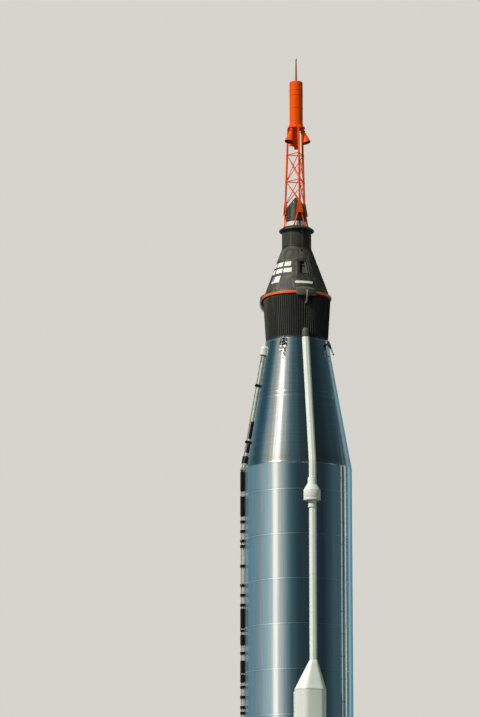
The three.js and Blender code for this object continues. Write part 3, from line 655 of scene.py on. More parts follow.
class Shape:
    """Points and faces that are gathered before they become one piece."""

    def __init__(self):
        self.points = []
        self.faces = []

    def rows(self, rows, around=True, ends=(False, False), along=False):
        """A skin through rows of points.

        around joins each row's two ends, along joins the last row to the first, and ends says whether the
        first and the last row are filled in.
        """
        start, count = len(self.points), len(rows[0])
        self.points += [tuple(p) for row in rows for p in row]
        levels = len(rows)
        for level in range(levels if along else levels - 1):
            for i in range(count if around else count - 1):
                a, b = level * count + i, level * count + (i + 1) % count
                step = count if level + 1 < levels else -level * count
                self.faces.append((start + a, start + b, start + b + step, start + a + step))
        if ends[0]:
            self.faces.append(tuple(start + i for i in reversed(range(count))))
        if ends[1]:
            self.faces.append(tuple(start + (levels - 1) * count + i for i in range(count)))

    def solid(self, rows):
        """A skin through rows of points that each go all the way round, filled in at both ends."""
        self.rows(rows, True, (True, True))

    def turned(self, profile, sides=96, place=Matrix(), closed=False, ripple=None):
        """A body round Z from [radius, height] pairs. ripple(azimuth, height) adds to the radius."""
        rows = []
        for radius, z in profile:
            row = []
            for i in range(sides):
                azimuth = 360 * i / sides
                grown = radius + (ripple(azimuth, z) if ripple and radius > 0 else 0)
                row.append(place @ point_at(azimuth, grown, z))
            rows.append(row)
        ends = (not closed and profile[0][0] > 0, not closed and profile[-1][0] > 0)
        self.rows(rows, True, ends, closed)

    def tube(self, path, radius, sides=16, radii=None):
        """A round bar along a path of points, with its own radius at each point if radii are given."""
        path = [Vector(p) for p in path]
        rows = []
        side = None
        for i, p in enumerate(path):
            before = (p - path[i - 1]).normalized() if i else None
            after = (path[i + 1] - p).normalized() if i + 1 < len(path) else None
            along = ((before or after) + (after or before)).normalized()
            if side is None:
                side = along.orthogonal().normalized()
            side = (side - along * side.dot(along)).normalized()
            other = along.cross(side)
            share = radii[i] if radii else radius
            if before and after:
                share /= max(0.5, along.dot(after))
            rows.append([p + share * (math.cos(t) * side + math.sin(t) * other) for t in turns(sides)])
        self.solid(rows)

    def loft(self, outlines, place=Matrix()):
        """A closed skin through [(x, y), z] outlines that all have the same number of points."""
        self.solid([[place @ Vector((x, y, z)) for x, y in points] for points, z in outlines])

    def block(self, width, depth, height, place=Matrix(), edge=0.004):
        """A box with chamfered edges, its middle at the place."""
        edge = min(edge, width / 3, depth / 3, height / 3)

        def outline(inset):
            w, d = width / 2 - inset, depth / 2 - inset
            return [
                (-w + edge, -d), (w - edge, -d), (w, -d + edge), (w, d - edge),
                (w - edge, d), (-w + edge, d), (-w, d - edge), (-w, -d + edge),
            ]

        h = height / 2
        levels = [(outline(edge), -h), (outline(0), -h + edge), (outline(0), h - edge), (outline(edge), h)]
        self.loft(levels, place)

    def slab(self, outline, thickness, place=Matrix(), edge=0.003):
        """A plate with an outline in X and Z, its front at -Y, with chamfered edges."""
        middle = Vector(
            (sum(x for x, z in outline) / len(outline), sum(z for x, z in outline) / len(outline))
        )
        size = max((Vector(p) - middle).length for p in outline)
        levels = [(1 - edge / size, 0), (1, edge), (1, thickness - edge), (1 - edge / size, thickness)]
        rows = []
        for grow, y in levels:
            flat = [middle + (Vector(p) - middle) * grow for p in outline]
            rows.append([place @ Vector((p.x, y - thickness / 2, p.y)) for p in flat])
        self.solid(rows)

    def studs(self, places, radius=0.006, height=0.003, sides=6):
        """A low domed head at each place, standing out along the place's -Y."""
        foot_and_top = ((radius, 0), (radius * 0.75, height * 0.85))
        for place in places:
            rows = [
                [place @ Vector((r * math.cos(t), -out, r * math.sin(t))) for t in turns(sides)]
                for r, out in foot_and_top
            ]
            self.rows(rows, True, (False, True))

    def hexes(self, places, size=0.014, height=0.01):
        """A hexagon bolt head at each place, standing out along the place's -Y."""
        corners = [
            (size / 2 * math.cos(math.pi * k / 3), size / 2 * math.sin(math.pi * k / 3)) for k in range(6)
        ]
        for place in places:
            rows = [
                [place @ Vector((x * share, -y, z * share)) for x, z in corners]
                for share, y in ((1, 0), (1, height * 0.8), (0.8, height))
            ]
            self.rows(rows, True, (False, True))


def piece(name, shape, look, body="airframe", stands_for=(), slot=None, sharp=32):
    """Makes the object: its points welded, its faces turned outwards, smooth between sharp edges."""
    slot = slot or SLOT_OF.get(look.name)
    mesh = bpy.data.meshes.new(name)
    mesh.from_pydata([tuple(p) for p in shape.points], [], shape.faces)
    work = bmesh.new()
    work.from_mesh(mesh)
    bmesh.ops.remove_doubles(work, verts=work.verts, dist=2e-5)
    bmesh.ops.recalc_face_normals(work, faces=work.faces)
    work.to_mesh(mesh)
    work.free()
    mesh.polygons.foreach_set("use_smooth", [True] * len(mesh.polygons))
    mesh.set_sharp_from_angle(angle=math.radians(sharp))
    mesh.materials.append(look)
    made = bpy.data.objects.new(name, mesh)
    scene.collection.objects.link(made)
    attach(made, body)
    if stands_for:
        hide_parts(*stands_for)
    return made


def swing(radius, start, stop, count):
    """Points of a round edge about the origin, angles in degrees."""
    steps = [math.radians(a) for a in bow(start, stop, count)]
    return [(radius * math.cos(a), radius * math.sin(a)) for a in steps]


def mirrored(corners):
    """Corners at the left, then the same ones at the right."""
    return [*corners, *((-x, y) for x, y in reversed(corners))]


def arc(centre_radius, centre_z, radius, start, stop, count):
    """A round edge in a [radius, height] profile, angles in degrees from +radius towards +height."""
    return [(max(0.0, centre_radius + x), centre_z + z) for x, z in swing(radius, start, stop, count)]


# Tank: rolled sheet hoops, a little barrelled between their ring welds
WELDS = [FIRST_WELD - WELD_PITCH * i for i in range(10)]


def skin_profile(bottom, top, seams):
    """Radius and height up a tank skin, with a bead at each seam and a slight bulge between seams."""
    bulge, bead, half_bead, level = 0.0010, 0.0006, 0.007, 0.008
    stops = [bottom, *sorted(s for s in seams if bottom + 0.02 < s < top - 0.02), top]
    profile = []
    for start, stop in zip(stops, stops[1:]):
        tall = stop - start - 2 * half_bead
        for share in (0, level / tall, *bow(0.1, 0.9, 7), 1 - level / tall, 1):
            z = start + half_bead + tall * share
            profile.append((tank_radius(z) + bulge * math.sin(math.pi * share) ** 2, z))
        if stop != top:
            profile.append((tank_radius(stop) + bead, stop - 0.003))
            profile.append((tank_radius(stop) + bead, stop + 0.003))
    return profile


def build_tank():
    barrel = Shape()
    body = skin_profile(low("oxidizer_tank"), SHOULDER, WELDS)
    barrel.turned([(0, body[0][1]), *body, (0, SHOULDER)], 256)
    piece("oxidizer_tank_barrel", barrel, STEEL, stands_for=["oxidizer_tank"])

    # The taper's foot laps over the barrel, and its top ends in a rolled rim.
    taper = Shape()
    lap, rim = 0.05, 0.007
    cone = skin_profile(SHOULDER, TANK_TOP - 0.03, TAPER_WELDS)
    foot = [(0, SHOULDER - lap), (TANK + 0.001, SHOULDER - lap), (TANK + 0.0055, SHOULDER - lap + 0.004)]
    foot += [(TANK + 0.0055, SHOULDER - 0.006)]
    top = tank_radius(TANK_TOP)
    head = [
        (top + rim + 0.005, TANK_TOP - 0.026), (top + rim, TANK_TOP - 0.004), (top, TANK_TOP), (0, TANK_TOP)
    ]
    taper.turned([*foot, *cone, *head], 256)
    piece("oxidizer_tank_taper", taper, STEEL)

    fuel = Shape()
    body = skin_profile(low("fuel_tank"), high("fuel_tank"), WELDS)
    fuel.turned([(0, body[0][1]), *body, (0, SPLIT)], 256)
    piece("fuel_tank_skin", fuel, STEEL, stands_for=["fuel_tank"])

    # Riveted splice bands where the tanks meet and where the base begins
    bands = Shape()
    rivets = Shape()
    for z, height in ((SPLIT, 0.09), (low("fuel_tank") + 0.07, 0.14)):
        half, proud = height / 2, 0.004
        section = [
            (TANK - 0.01, z - half), (TANK + proud - 0.001, z - half), (TANK + proud, z - half + 0.002)
        ]
        section += [
            (TANK + proud, z + half - 0.002), (TANK + proud - 0.001, z + half), (TANK - 0.01, z + half)
        ]
        bands.turned(section, 192, closed=True)
        for row in (-half * 0.6, half * 0.6):
            rivets.studs(round_about(180, TANK + proud, z + row), 0.007)
    piece("tank_splice_bands", bands, SKIRT_STEEL)
    piece("tank_splice_rivets", rivets, SKIRT_STEEL)


build_tank()


# Mating ring, its bolts, and a shackle with a short turnbuckle stub on each guy lug
GUY_AZIMUTHS = (-40, 50, 140, 230)


def build_mating_ring():
    ring_low, ring_high = TANK_TOP, low("adapter")
    bolts = Shape()
    seats = [spot @ about("X", -90) for spot in round_about(72, 0.872, ring_high + 0.004, 0.5)]
    bolts.hexes(seats, 0.016, 0.012)
    piece("mating_ring_bolts", bolts, DARK_STEEL)
    shackles, turnbuckles, brackets = Shape(), Shape(), Shape()
    for azimuth in GUY_AZIMUTHS:
        # A bow shackle hangs from a pin through the lug, leaning out, and a turnbuckle hangs on its bow.
        eye = near(azimuth, 0.985, ring_low - 0.134, tilt=24)
        shackles.tube([eye @ Vector((x, 0, 0)) for x in (-0.068, 0.068)], 0.023, 12)
        curve = [
            (0.070 * math.cos(a), -0.055 + 0.074 * math.sin(a))
            for a in map(math.radians, bow(190, 350, 15))
        ]
        bow_path = [(-0.05, 0.01), *curve, (0.05, 0.01)]
        shackles.tube([eye @ Vector((x, 0, z)) for x, z in bow_path], 0.019, 12)
        for side in (-1, 1):
            nut = eye @ shifted(side * 0.062, 0, 0) @ about("Z", 90 * side)
            shackles.hexes([nut], 0.052, 0.018)
        buckle = eye @ shifted(0, 0, -0.114)
        loop = [buckle @ Vector((0, 0.026 * math.cos(t), -0.026 + 0.026 * math.sin(t))) for t in turns(18)]
        turnbuckles.tube([*loop, loop[0]], 0.014, 10)
        for x in (-0.026, 0.026):
            turnbuckles.tube([buckle @ Vector((x, 0, z)) for z in (-0.07, -0.2)], 0.013, 10)
        for z in (-0.07, -0.2):
            turnbuckles.block(0.082, 0.048, 0.036, buckle @ shifted(0, 0, z), 0.008)
        turnbuckles.tube([buckle @ Vector((0, 0, z)) for z in (-0.05, -0.1)], 0.012, 10)
        stub = [buckle @ Vector((0, 0, z)) for z in (-0.17, -0.24, -0.245)]
        turnbuckles.tube(stub, 0.014, 10, [0.014, 0.014, 0.010])
        # The lug's bracket on the taper, with its bolts
        brackets.block(0.12, 0.05, 0.012, near(azimuth, 0.905, ring_low - 0.02), 0.003)
        for x in (-0.08, 0.08):
            brackets.block(0.010, 0.085, 0.11, near(azimuth, 0.925, ring_low - 0.07, x=x), 0.003)
        back = near(azimuth, tank_radius(ring_low - 0.06) + 0.008, ring_low - 0.06, tilt=-10)
        brackets.block(0.11, 0.012, 0.09, back, 0.003)
        for x in (-0.035, 0.035):
            bolt = near(azimuth, tank_radius(ring_low - 0.08) + 0.015, ring_low - 0.085, x=x)
            brackets.hexes([bolt], 0.02, 0.01)
        # Two capped studs on the taper below the lug
        for z, radius in ((19.051, 0.022), (18.918, 0.017)):
            shackles.studs([near(azimuth + 0.6, tank_radius(z), z, 10)], radius, 0.014, 12)
    piece("guy_shackles", shackles, IRON)
    piece("guy_turnbuckles", turnbuckles, PALE_METAL, slot="dark_steel")
    piece("guy_lug_brackets", brackets, PALE_METAL, slot="dark_steel")


build_mating_ring()


# Adapter: sheet with narrow ribs that run down it, a lip at its top and a bolted foot
def rib(azimuth, count, proud, share=0.42):
    """How far a narrow round-topped rib stands out at an azimuth."""
    phase = (azimuth * count / 360) % 1.0
    away = abs(phase - 0.5) / (share / 2)
    return proud * math.cos(away * math.pi / 2) if away < 1 else 0.0


def build_adapter():
    bottom, top = low("adapter"), high("adapter")
    foot_radius, lip_radius = 0.857, outer("adapter")
    lip_low = top - 0.04
    count, proud = 90, 0.02

    def radius_at(z):
        return foot_radius + (0.935 - foot_radius) * (z - bottom) / (lip_low - bottom)

    def ribs(azimuth, z):
        fade = clip((z - bottom - 0.035) / 0.03) * clip((lip_low - 0.02 - z) / 0.03)
        return rib(azimuth, count, proud, 0.4) * fade

    shell = Shape()
    heights = [bottom, bottom + 0.035, bottom + 0.05, bottom + 0.065]
    heights += bow(bottom + 0.1, lip_low - 0.08, 9)
    heights += [lip_low - 0.05, lip_low - 0.035, lip_low - 0.02, lip_low]
    outside = [(radius_at(z), z) for z in heights]
    outside += [(lip_radius - 0.003, lip_low), (lip_radius, lip_low + 0.003), (lip_radius, top)]
    inside = [(radius_at(top) - 0.03, top), (foot_radius - 0.03, bottom)]
    shell.turned([*outside, *inside], count * 8, closed=True, ripple=ribs)
    piece("adapter_shell", shell, BLACK, stands_for=["adapter"])

    trim = Shape()
    for z, half in ((bottom + 0.014, 0.011), (lip_low - 0.008, 0.007)):
        radius, out = radius_at(z), 0.010
        section = [(radius - 0.01, z - half), (radius + out, z - half), (radius + out + 0.002, z)]
        section += [(radius + out, z + half), (radius - 0.01, z + half)]
        trim.turned(section, 144, closed=True)
    piece("adapter_stiffeners", trim, BLACK)

    rivets = Shape()
    for z in (bottom + 0.03, lip_low - 0.032):
        rivets.studs(round_about(144, radius_at(z) + 0.0005, z))
    piece("adapter_rivets", rivets, DARK_STEEL)

    # The half-domed blister at the adapter's foot, on its flange
    blister = Shape()
    radius, straight = 0.1, 19.69
    profile = [(0, bottom), (radius + 0.016, bottom), (radius + 0.016, bottom + 0.006)]
    profile += [(radius, bottom + 0.008), *arc(0, straight, radius, 0, 90, 10)]
    blister.turned(profile, 48, shifted(0, -foot_radius - 0.008, 0))
    piece("blister_cover", blister, COVER, stands_for=["adapter_blister"])


build_adapter()


# Capsule: a cone of beaded sheets, with a hatch opening and a window
HATCH = {"azimuth": 50, "low": 20.95, "high": 21.76, "half_low": 0.330, "half_high": 0.235}
WINDOW = {"azimuth": 0, "low": 21.395, "high": 21.765, "half_low": 0.122, "half_high": 0.088}
BEADS = 144  # round the cone
SHEET_JOINTS = (21.27, 21.79)


def panel_reach(panel, z, grow=0.0):
    """Half the width of a panel in the cone, in degrees, at a height."""
    share = (z - panel["low"]) / (panel["high"] - panel["low"])
    half = panel["half_low"] + (panel["half_high"] - panel["half_low"]) * share + grow
    return math.degrees(math.asin(half / cone_radius(z)))


def smooth_band(z, start, stop, fade=0.02):
    """1 between two heights, falling to 0 outside them."""
    return clip((z - start) / fade + 1) * clip((stop - z) / fade + 1)


def bead_height(azimuth, z):
    """The beads stop at the sheets' joints and at the plain borders round the hatch and the window."""
    proud = rib(azimuth, BEADS, 0.0045, 0.5)
    edges = [CONE_BASE + 0.06, *SHEET_JOINTS, NECK - 0.03]
    share = max(smooth_band(z, a + 0.035, b - 0.035) for a, b in zip(edges, edges[1:]))
    for panel in (HATCH, WINDOW):
        turn = abs((azimuth - panel["azimuth"] + 180) % 360 - 180)
        border = 0.055
        if panel["low"] - border < z < panel["high"] + border and turn < panel_reach(panel, z, border):
            share = 0.0
    return proud * share


def rim_of(grid):
    """The points round the edge of a grid, in order."""
    return [*grid[0], *(r[-1] for r in grid[1:-1]), *reversed(grid[-1]), *(r[0] for r in grid[-2:0:-1])]


def cone_patch(shape, panel, outset, thickness, grow=0.0, hole=None, ripple=None, columns=24, rows=10):
    """A plate with four sides that follows the cone, standing out by outset; hole leaves its middle out."""
    def surface(depth, reach):
        made = []
        for z in bow(panel["low"] - reach, panel["high"] + reach, rows):
            wide = panel_reach(panel, z, reach)
            line = []
            for turn in bow(-wide, wide, columns):
                azimuth = panel["azimuth"] + turn
                extra = ripple(azimuth, z) if ripple and depth == outset else 0
                line.append(point_at(azimuth, cone_radius(z) + depth + extra, z))
            made.append(line)
        return made

    inside = outset - thickness
    if hole is None:
        front, back = surface(outset, grow), surface(inside, grow)
        shape.rows(front, False)
        shape.rows(back, False)
        shape.rows([rim_of(front), rim_of(back)], True)
    else:
        corners = ((outset, grow), (outset, hole), (inside, hole), (inside, grow))
        shape.rows([rim_of(surface(depth, reach)) for depth, reach in corners], True, along=True)


def build_cone():
    """The cone's sheet: a fine grid without the cells of the two openings, then thickened inwards."""
    # Columns from the window's left side to its right, on to the hatch's left and its right, and the rest
    shares = (44, 50, 96, BEADS * 6 - 190)
    columns = sum(shares)
    marks = [CONE_BASE, CONE_BASE + 0.03, HATCH["low"], WINDOW["low"], HATCH["high"], WINDOW["high"], NECK]
    joints = [j + d for j in SHEET_JOINTS for d in (-0.004, 0.004)]
    heights = sorted({round(z, 4) for z in [*marks, *joints, *bow(CONE_BASE + 0.05, NECK - 0.012, 40)]})

    def column_azimuths(z):
        """Columns bend so that the window's and the hatch's sides fall on them."""
        edges = []
        for panel in (WINDOW, HATCH):
            reach = panel_reach(panel, min(max(z, panel["low"]), panel["high"]))
            edges += [panel["azimuth"] - reach, panel["azimuth"] + reach]
        edges.append(edges[0] + 360)
        line = []
        for count, start, stop in zip(shares, edges, edges[1:]):
            line += [start + (stop - start) * k / count for k in range(count)]
        return line

    shell = Shape()
    rows = []
    for z in heights:
        step = 0.002 * sum(1 for j in SHEET_JOINTS if z < j)
        radius = cone_radius(z) - 0.004 + step
        rows.append([point_at(a, radius + bead_height(a, z), z) for a in column_azimuths(z)])
    shell.rows(rows, True)
    openings = ((WINDOW, range(0, shares[0])), (HATCH, range(shares[0] + shares[1], sum(shares[:3]))))

    def in_sheet(face):
        level, column = face[0] // columns, face[0] % columns
        middle = (heights[level] + heights[level + 1]) / 2
        return not any(
            p["low"] < middle < p["high"] and column in open_columns for p, open_columns in openings
        )

    shell.faces = [face for face in shell.faces if in_sheet(face)]
    made = piece("cabin_sheet", shell, CABIN_BLACK, stands_for=["cabin_shell"])
    wall = made.modifiers.new("wall", "SOLIDIFY")
    wall.thickness = 0.03
    wall.offset = -1

    trim = Shape()
    for z, height, out in ((CONE_BASE + 0.018, 0.03, 0.003), (NECK - 0.008, 0.014, 0.004)):
        foot, head = z - height / 2, z + height / 2
        section = [(cone_radius(foot) - 0.01, foot), (cone_radius(foot) + out, foot)]
        section += [(cone_radius(head) + out, head), (cone_radius(head) - 0.01, head)]
        trim.turned(section, 128, closed=True)
    piece("cabin_edge_rings", trim, CABIN_BLACK)

    # Screws along the sheets' joints, and round both openings
    screws = Shape()
    for z in SHEET_JOINTS:
        count = int(2 * math.pi * cone_radius(z) / 0.055)
        steps = [360 * i / count for i in range(count)]
        clear = [a for a in steps if abs((a - HATCH["azimuth"] + 180) % 360 - 180) > 36 or z > 21.77]
        screws.studs([near(a, cone_radius(z - 0.016) + 0.0005, z - 0.016, 20) for a in clear], 0.005)
    for panel, border in ((HATCH, 0.028), (WINDOW, 0.03)):
        for z in bow(panel["low"] + 0.01, panel["high"] - 0.01, int((panel["high"] - panel["low"]) / 0.05)):
            for side in (-1, 1):
                azimuth = panel["azimuth"] + side * panel_reach(panel, z, border)
                screws.studs([near(azimuth, cone_radius(z) - 0.001, z, 20)], 0.0055, 0.004)
        for z in (panel["low"] - border, panel["high"] + border):
            wide = panel_reach(panel, z, border)
            for turn in bow(-wide, wide, int(panel["half_low"] * 2 / 0.05) + 2):
                screws.studs([near(panel["azimuth"] + turn, cone_radius(z) - 0.001, z, 20)], 0.0055, 0.004)
    piece("cabin_screws", screws, DARK_STEEL)


def build_hatch():
    gap = -0.006
    hatch = Shape()
    plain = 0.05

    def beads(azimuth, z):
        turn = abs(azimuth - HATCH["azimuth"])
        inside = HATCH["low"] + plain < z < HATCH["high"] - plain and turn < panel_reach(HATCH, z, -plain)
        return rib(azimuth, BEADS, 0.0045, 0.5) if inside else 0.0

    cone_patch(hatch, HATCH, -0.001, 0.018, gap, ripple=beads, columns=150, rows=34)
    piece("side_hatch_panel", hatch, CABIN_BLACK, "side_hatch", ["side_hatch"])
    frame_strip = Shape()
    cone_patch(frame_strip, HATCH, -0.024, 0.016, -0.0005, hole=-0.03)
    piece("hatch_ledge", frame_strip, DARK_STEEL)
    bolts = Shape()
    border = -0.024
    places = []
    for z in bow(HATCH["low"] + 0.05, HATCH["high"] - 0.05, 15):
        for side in (-1, 1):
            azimuth = HATCH["azimuth"] + side * panel_reach(HATCH, z, border)
            places.append(near(azimuth, cone_radius(z) - 0.001, z, 20))
    for z in (HATCH["low"] - border, HATCH["high"] + border):
        wide = panel_reach(HATCH, z, border)
        for turn in bow(-wide, wide, 12):
            places.append(near(HATCH["azimuth"] + turn, cone_radius(z) - 0.001, z, 20))
    bolts.hexes(places, 0.014, 0.006)
    middle = near(HATCH["azimuth"], cone_radius(21.35) + 0.001, 21.35, 20)
    bolts.turned(
        [(0, -0.003), (0.05, -0.003), (0.05, 0.002), (0.04, 0.007), (0, 0.008)], 32, middle @ about("X", 90)
    )
    bolts.block(0.016, 0.012, 0.07, middle @ shifted(0, -0.01, 0), 0.003)
    piece("side_hatch_bolts", bolts, DARK_STEEL, "side_hatch")


def build_window():
    pane = Shape()
    cone_patch(pane, WINDOW, -0.02, 0.014, -0.004)
    piece("window_pane", pane, GLASS, stands_for=["cabin_window"])
    # A grey panel behind the frame is a painted reflection of the pane. The dark glass it leaves in a gap at
    # the left and in two slots at the top is painted shadow of the recess's left side and top.
    reflection_sheet = Shape()
    for low_z, high_z in ((WINDOW["low"] + 0.002, 21.588), (21.640, 21.670)):
        rows = []
        for z in bow(low_z, high_z, 6):
            left, right = -panel_reach(WINDOW, z, -0.080), panel_reach(WINDOW, z, -0.032)
            rows.append([point_at(turn, cone_radius(z) - 0.013, z) for turn in bow(left, right, 8)])
        back = [[p * 0.992 + Vector((0, 0, p.z * 0.008)) for p in row] for row in rows]
        reflection_sheet.rows(rows, False)
        reflection_sheet.rows(back, False)
        reflection_sheet.rows([rim_of(rows), rim_of(back)], True)
    piece("window_painted_reflection", reflection_sheet, PAINTED_SHEEN_GREY)
    # The right jamb slopes in to the grey panel and catches the light. It is also painted light grey while
    # the left side of the opening stays black, a painted highlight on the lit side.
    jamb = Shape()
    rows = []
    for z in bow(WINDOW["low"] - 0.002, WINDOW["high"] + 0.002, 8):
        corners = [(0.001, 0.003), (0.001, -0.022), (-0.036, -0.022), (-0.036, -0.014)]
        rows.append(
            [point_at(panel_reach(WINDOW, z, grow), cone_radius(z) + out, z) for grow, out in corners]
        )
    jamb.solid(rows)
    piece("window_jamb", jamb, PAINTED_SHEEN_GREY)
    surround = Shape()
    cone_patch(surround, WINDOW, 0.004, 0.03, 0.016, hole=-0.001)
    cone_patch(surround, WINDOW, -0.014, 0.010, -0.001, hole=-0.005)
    # A raised strip runs down each side of the window's border. The left one is black, and the right one is
    # in the lighter cover paint, a painted highlight on the lit side.
    highlight_strip = Shape()
    section = [(-1, -0.004), (-1, 0.007), (-0.6, 0.009), (0.6, 0.009), (1, 0.007), (1, -0.004)]
    for side, shape in ((-1, surround), (1, highlight_strip)):
        rows = []
        for z in bow(WINDOW["low"] - 0.03, WINDOW["high"] + 0.06, 8):
            radius = cone_radius(z)
            middle = WINDOW["azimuth"] + side * panel_reach(WINDOW, min(z, WINDOW["high"]), 0.052)
            half = math.degrees(0.011 / radius)
            rows.append([point_at(middle + t * half, radius + out, z) for t, out in section])
        shape.solid(rows)
    piece("window_frame", surround, BLACK)
    piece("window_strip_painted_highlight", highlight_strip, COVER)


# Plain white bars where lettering would be, then a plain plate and the blue corner on it:
# [azimuth, middle height, height, width], and how far the corner stands out
BARS = [
    (-40, 21.695, 0.135, 0.20),
    (-64, 21.695, 0.135, 0.22),
    (-85, 21.695, 0.135, 0.14),
    (-38, 21.495, 0.135, 0.25),
    (-62, 21.495, 0.135, 0.25),
    (-83, 21.495, 0.135, 0.15),
    (-1.5, 21.11, 0.07, 0.50),
]
PLATE = (-65, 21.24, 0.19, 0.32)
PLATE_CORNER = (-74, 21.268, 0.132, 0.13, 0.0022)


def build_markings():
    """Paint that follows the beads of the sheet under it."""
    def plate(shape, azimuth, z, height, width, outset=0.0012):
        panel = {"azimuth": azimuth, "low": z - height / 2, "high": z + height / 2}
        panel["half_low"] = panel["half_high"] = width / 2
        cone_patch(shape, panel, outset, 0.004, ripple=bead_height, columns=int(width / 0.005), rows=8)

    bars = Shape()
    for bar in (*BARS, PLATE):
        plate(bars, *bar)
    piece("marking_bars", bars, WHITE)
    corner = Shape()
    plate(corner, *PLATE_CORNER)
    piece("marking_corner", corner, BLUE)


build_cone()
build_hatch()
build_window()
build_markings()


def build_cabin_inside():
    """Couch pads on the couch's shell, and dials on the panel, behind the glass and the hatch."""
    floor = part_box("pilot_couch")[0].z
    outline = [(-0.43, 0.0), (0.43, 0.0), (0.43, 0.42), (0.33, 0.42)]
    outline += [(0.25, 0.17), (-0.13, 0.11), (-0.33, 0.13), (-0.43, 0.19)]
    shell = Shape()
    grid = []
    for x, inset in ((-0.28, 0.008), (-0.27, 0), (0.27, 0), (0.28, 0.008)):
        grid.append([Vector((x, -y * (1 - inset), floor + z * (1 - inset) + 0.001)) for y, z in outline])
    shell.solid(grid)
    piece("couch_shell", shell, GREY, stands_for=["pilot_couch"])
    pads, piping = Shape(), Shape()
    pillow = pillow_outline()
    for y, z, length, tilt in ((0.1, 0.125, 0.34, 9), (-0.2, 0.165, 0.3, -11), (-0.31, 0.31, 0.22, -72)):
        base = shifted(0, y, floor + z) @ about("X", tilt)
        edge = [base @ Vector((0.244 * x, (length / 2 + 0.003) * y, 0.026)) for x, y in pillow]
        piping.tube([*edge, edge[0]], 0.005, 8)
        rows = []
        for grow, rise in ((0.95, 0.0), (0.96, 0.35), (1.0, 0.6), (0.92, 0.9), (0.6, 1.0)):
            wide, long = 0.250 * grow, (length / 2 + 0.008) * grow
            rows.append([base @ Vector((wide * x, long * y, 0.044 * rise)) for x, y in pillow])
        pads.solid(rows)
    cushion = piece("couch_pads", pads, CLOTH, sharp=70)
    plump(cushion)
    piece("couch_piping", piping, CLOTH)
    dials = Shape()
    face = shifted(0, 0.33, floor + 0.905) @ about("X", -70)
    rim = [(0, 0.0), (0.038, 0.0), (0.038, 0.006), (0.033, 0.008), (0.032, 0.003), (0, 0.003)]
    for column in range(5):
        for row in range(3):
            spot = face @ shifted(-0.2 + 0.1 * column, -0.035, -0.11 + 0.11 * row)
            dials.turned(rim, 20, spot @ about("X", 90))
    piece("panel_dials", dials, RUBBER)


def plump(made, voxel=0.012, pressure=4.0, cap=0.009):
    """Blows a pad up as cloth and keeps each point within a few millimetres of where it began."""

    def settle():
        view = bpy.context.evaluated_depsgraph_get()
        mesh = bpy.data.meshes.new_from_object(made.evaluated_get(view))
        made.modifiers.clear()
        made.data = mesh

    remesh = made.modifiers.new("remesh", "REMESH")
    remesh.mode = "VOXEL"
    remesh.voxel_size = voxel
    settle()
    start = [v.co.copy() for v in made.data.vertices]
    cloth = made.modifiers.new("cloth", "CLOTH")
    cloth.settings.use_pressure = True
    cloth.settings.uniform_pressure_force = pressure
    cloth.settings.effector_weights.gravity = 0
    for step in range(1, 21):
        scene.frame_set(step)
    settle()
    scene.frame_set(1)
    for vertex, home in zip(made.data.vertices, start):
        moved = vertex.co - home
        if moved.length > cap:
            vertex.co = home + moved.normalized() * cap
    smoother = made.modifiers.new("smoother", "SUBSURF")
    smoother.levels = 1
    settle()
    made.data.polygons.foreach_set("use_smooth", [True] * len(made.data.polygons))


def pillow_outline(count=40):
    """A rounded square whose sides pull in a little between its corners."""
    points = []
    for i in range(count):
        angle = 2 * math.pi * i / count
        x, y = math.cos(angle), math.sin(angle)
        square = max(abs(x), abs(y))
        grow = 1 / square ** 0.8
        pull = 1 - 0.03 * abs(math.cos(2 * angle))
        points.append((x * grow * pull, y * grow * pull))
    return points


build_cabin_inside()


# Clamp ring: three segments with bolted lugs, and three fairings with a cable strap under each
FAIRING_AZIMUTHS = (0, 120, 240)


def build_clamp_ring():
    bottom, top = low("clamp_ring"), high("clamp_ring")
    inner, out = CONE_RADIUS + 0.0008, outer("clamp_ring")
    ring = Shape()
    section = [(inner, bottom), (out - 0.014, bottom), *arc(out - 0.014, bottom + 0.014, 0.014, -80, 0, 4)]
    section += [(out, bottom + 0.026), (out - 0.004, bottom + 0.03), (out - 0.004, top - 0.03)]
    section += [(out, top - 0.026), *arc(out - 0.014, top - 0.014, 0.014, 0, 80, 4)]
    section += [(out - 0.014, top), (inner, top)]
    ring.turned(section, 180, closed=True)
    piece("clamp_ring_band", ring, CLAMP_ORANGE, stands_for=["clamp_ring"])
    bolts = Shape()
    bolts.hexes(round_about(24, out - 0.004, (bottom + top) / 2, 0.5), 0.016, 0.008)
    piece("clamp_ring_bolts", bolts, DARK_STEEL)
    for number, azimuth in enumerate(FAIRING_AZIMUTHS, 1):
        build_clamp_fairing(f"clamp_fairing_{number}", azimuth, out)


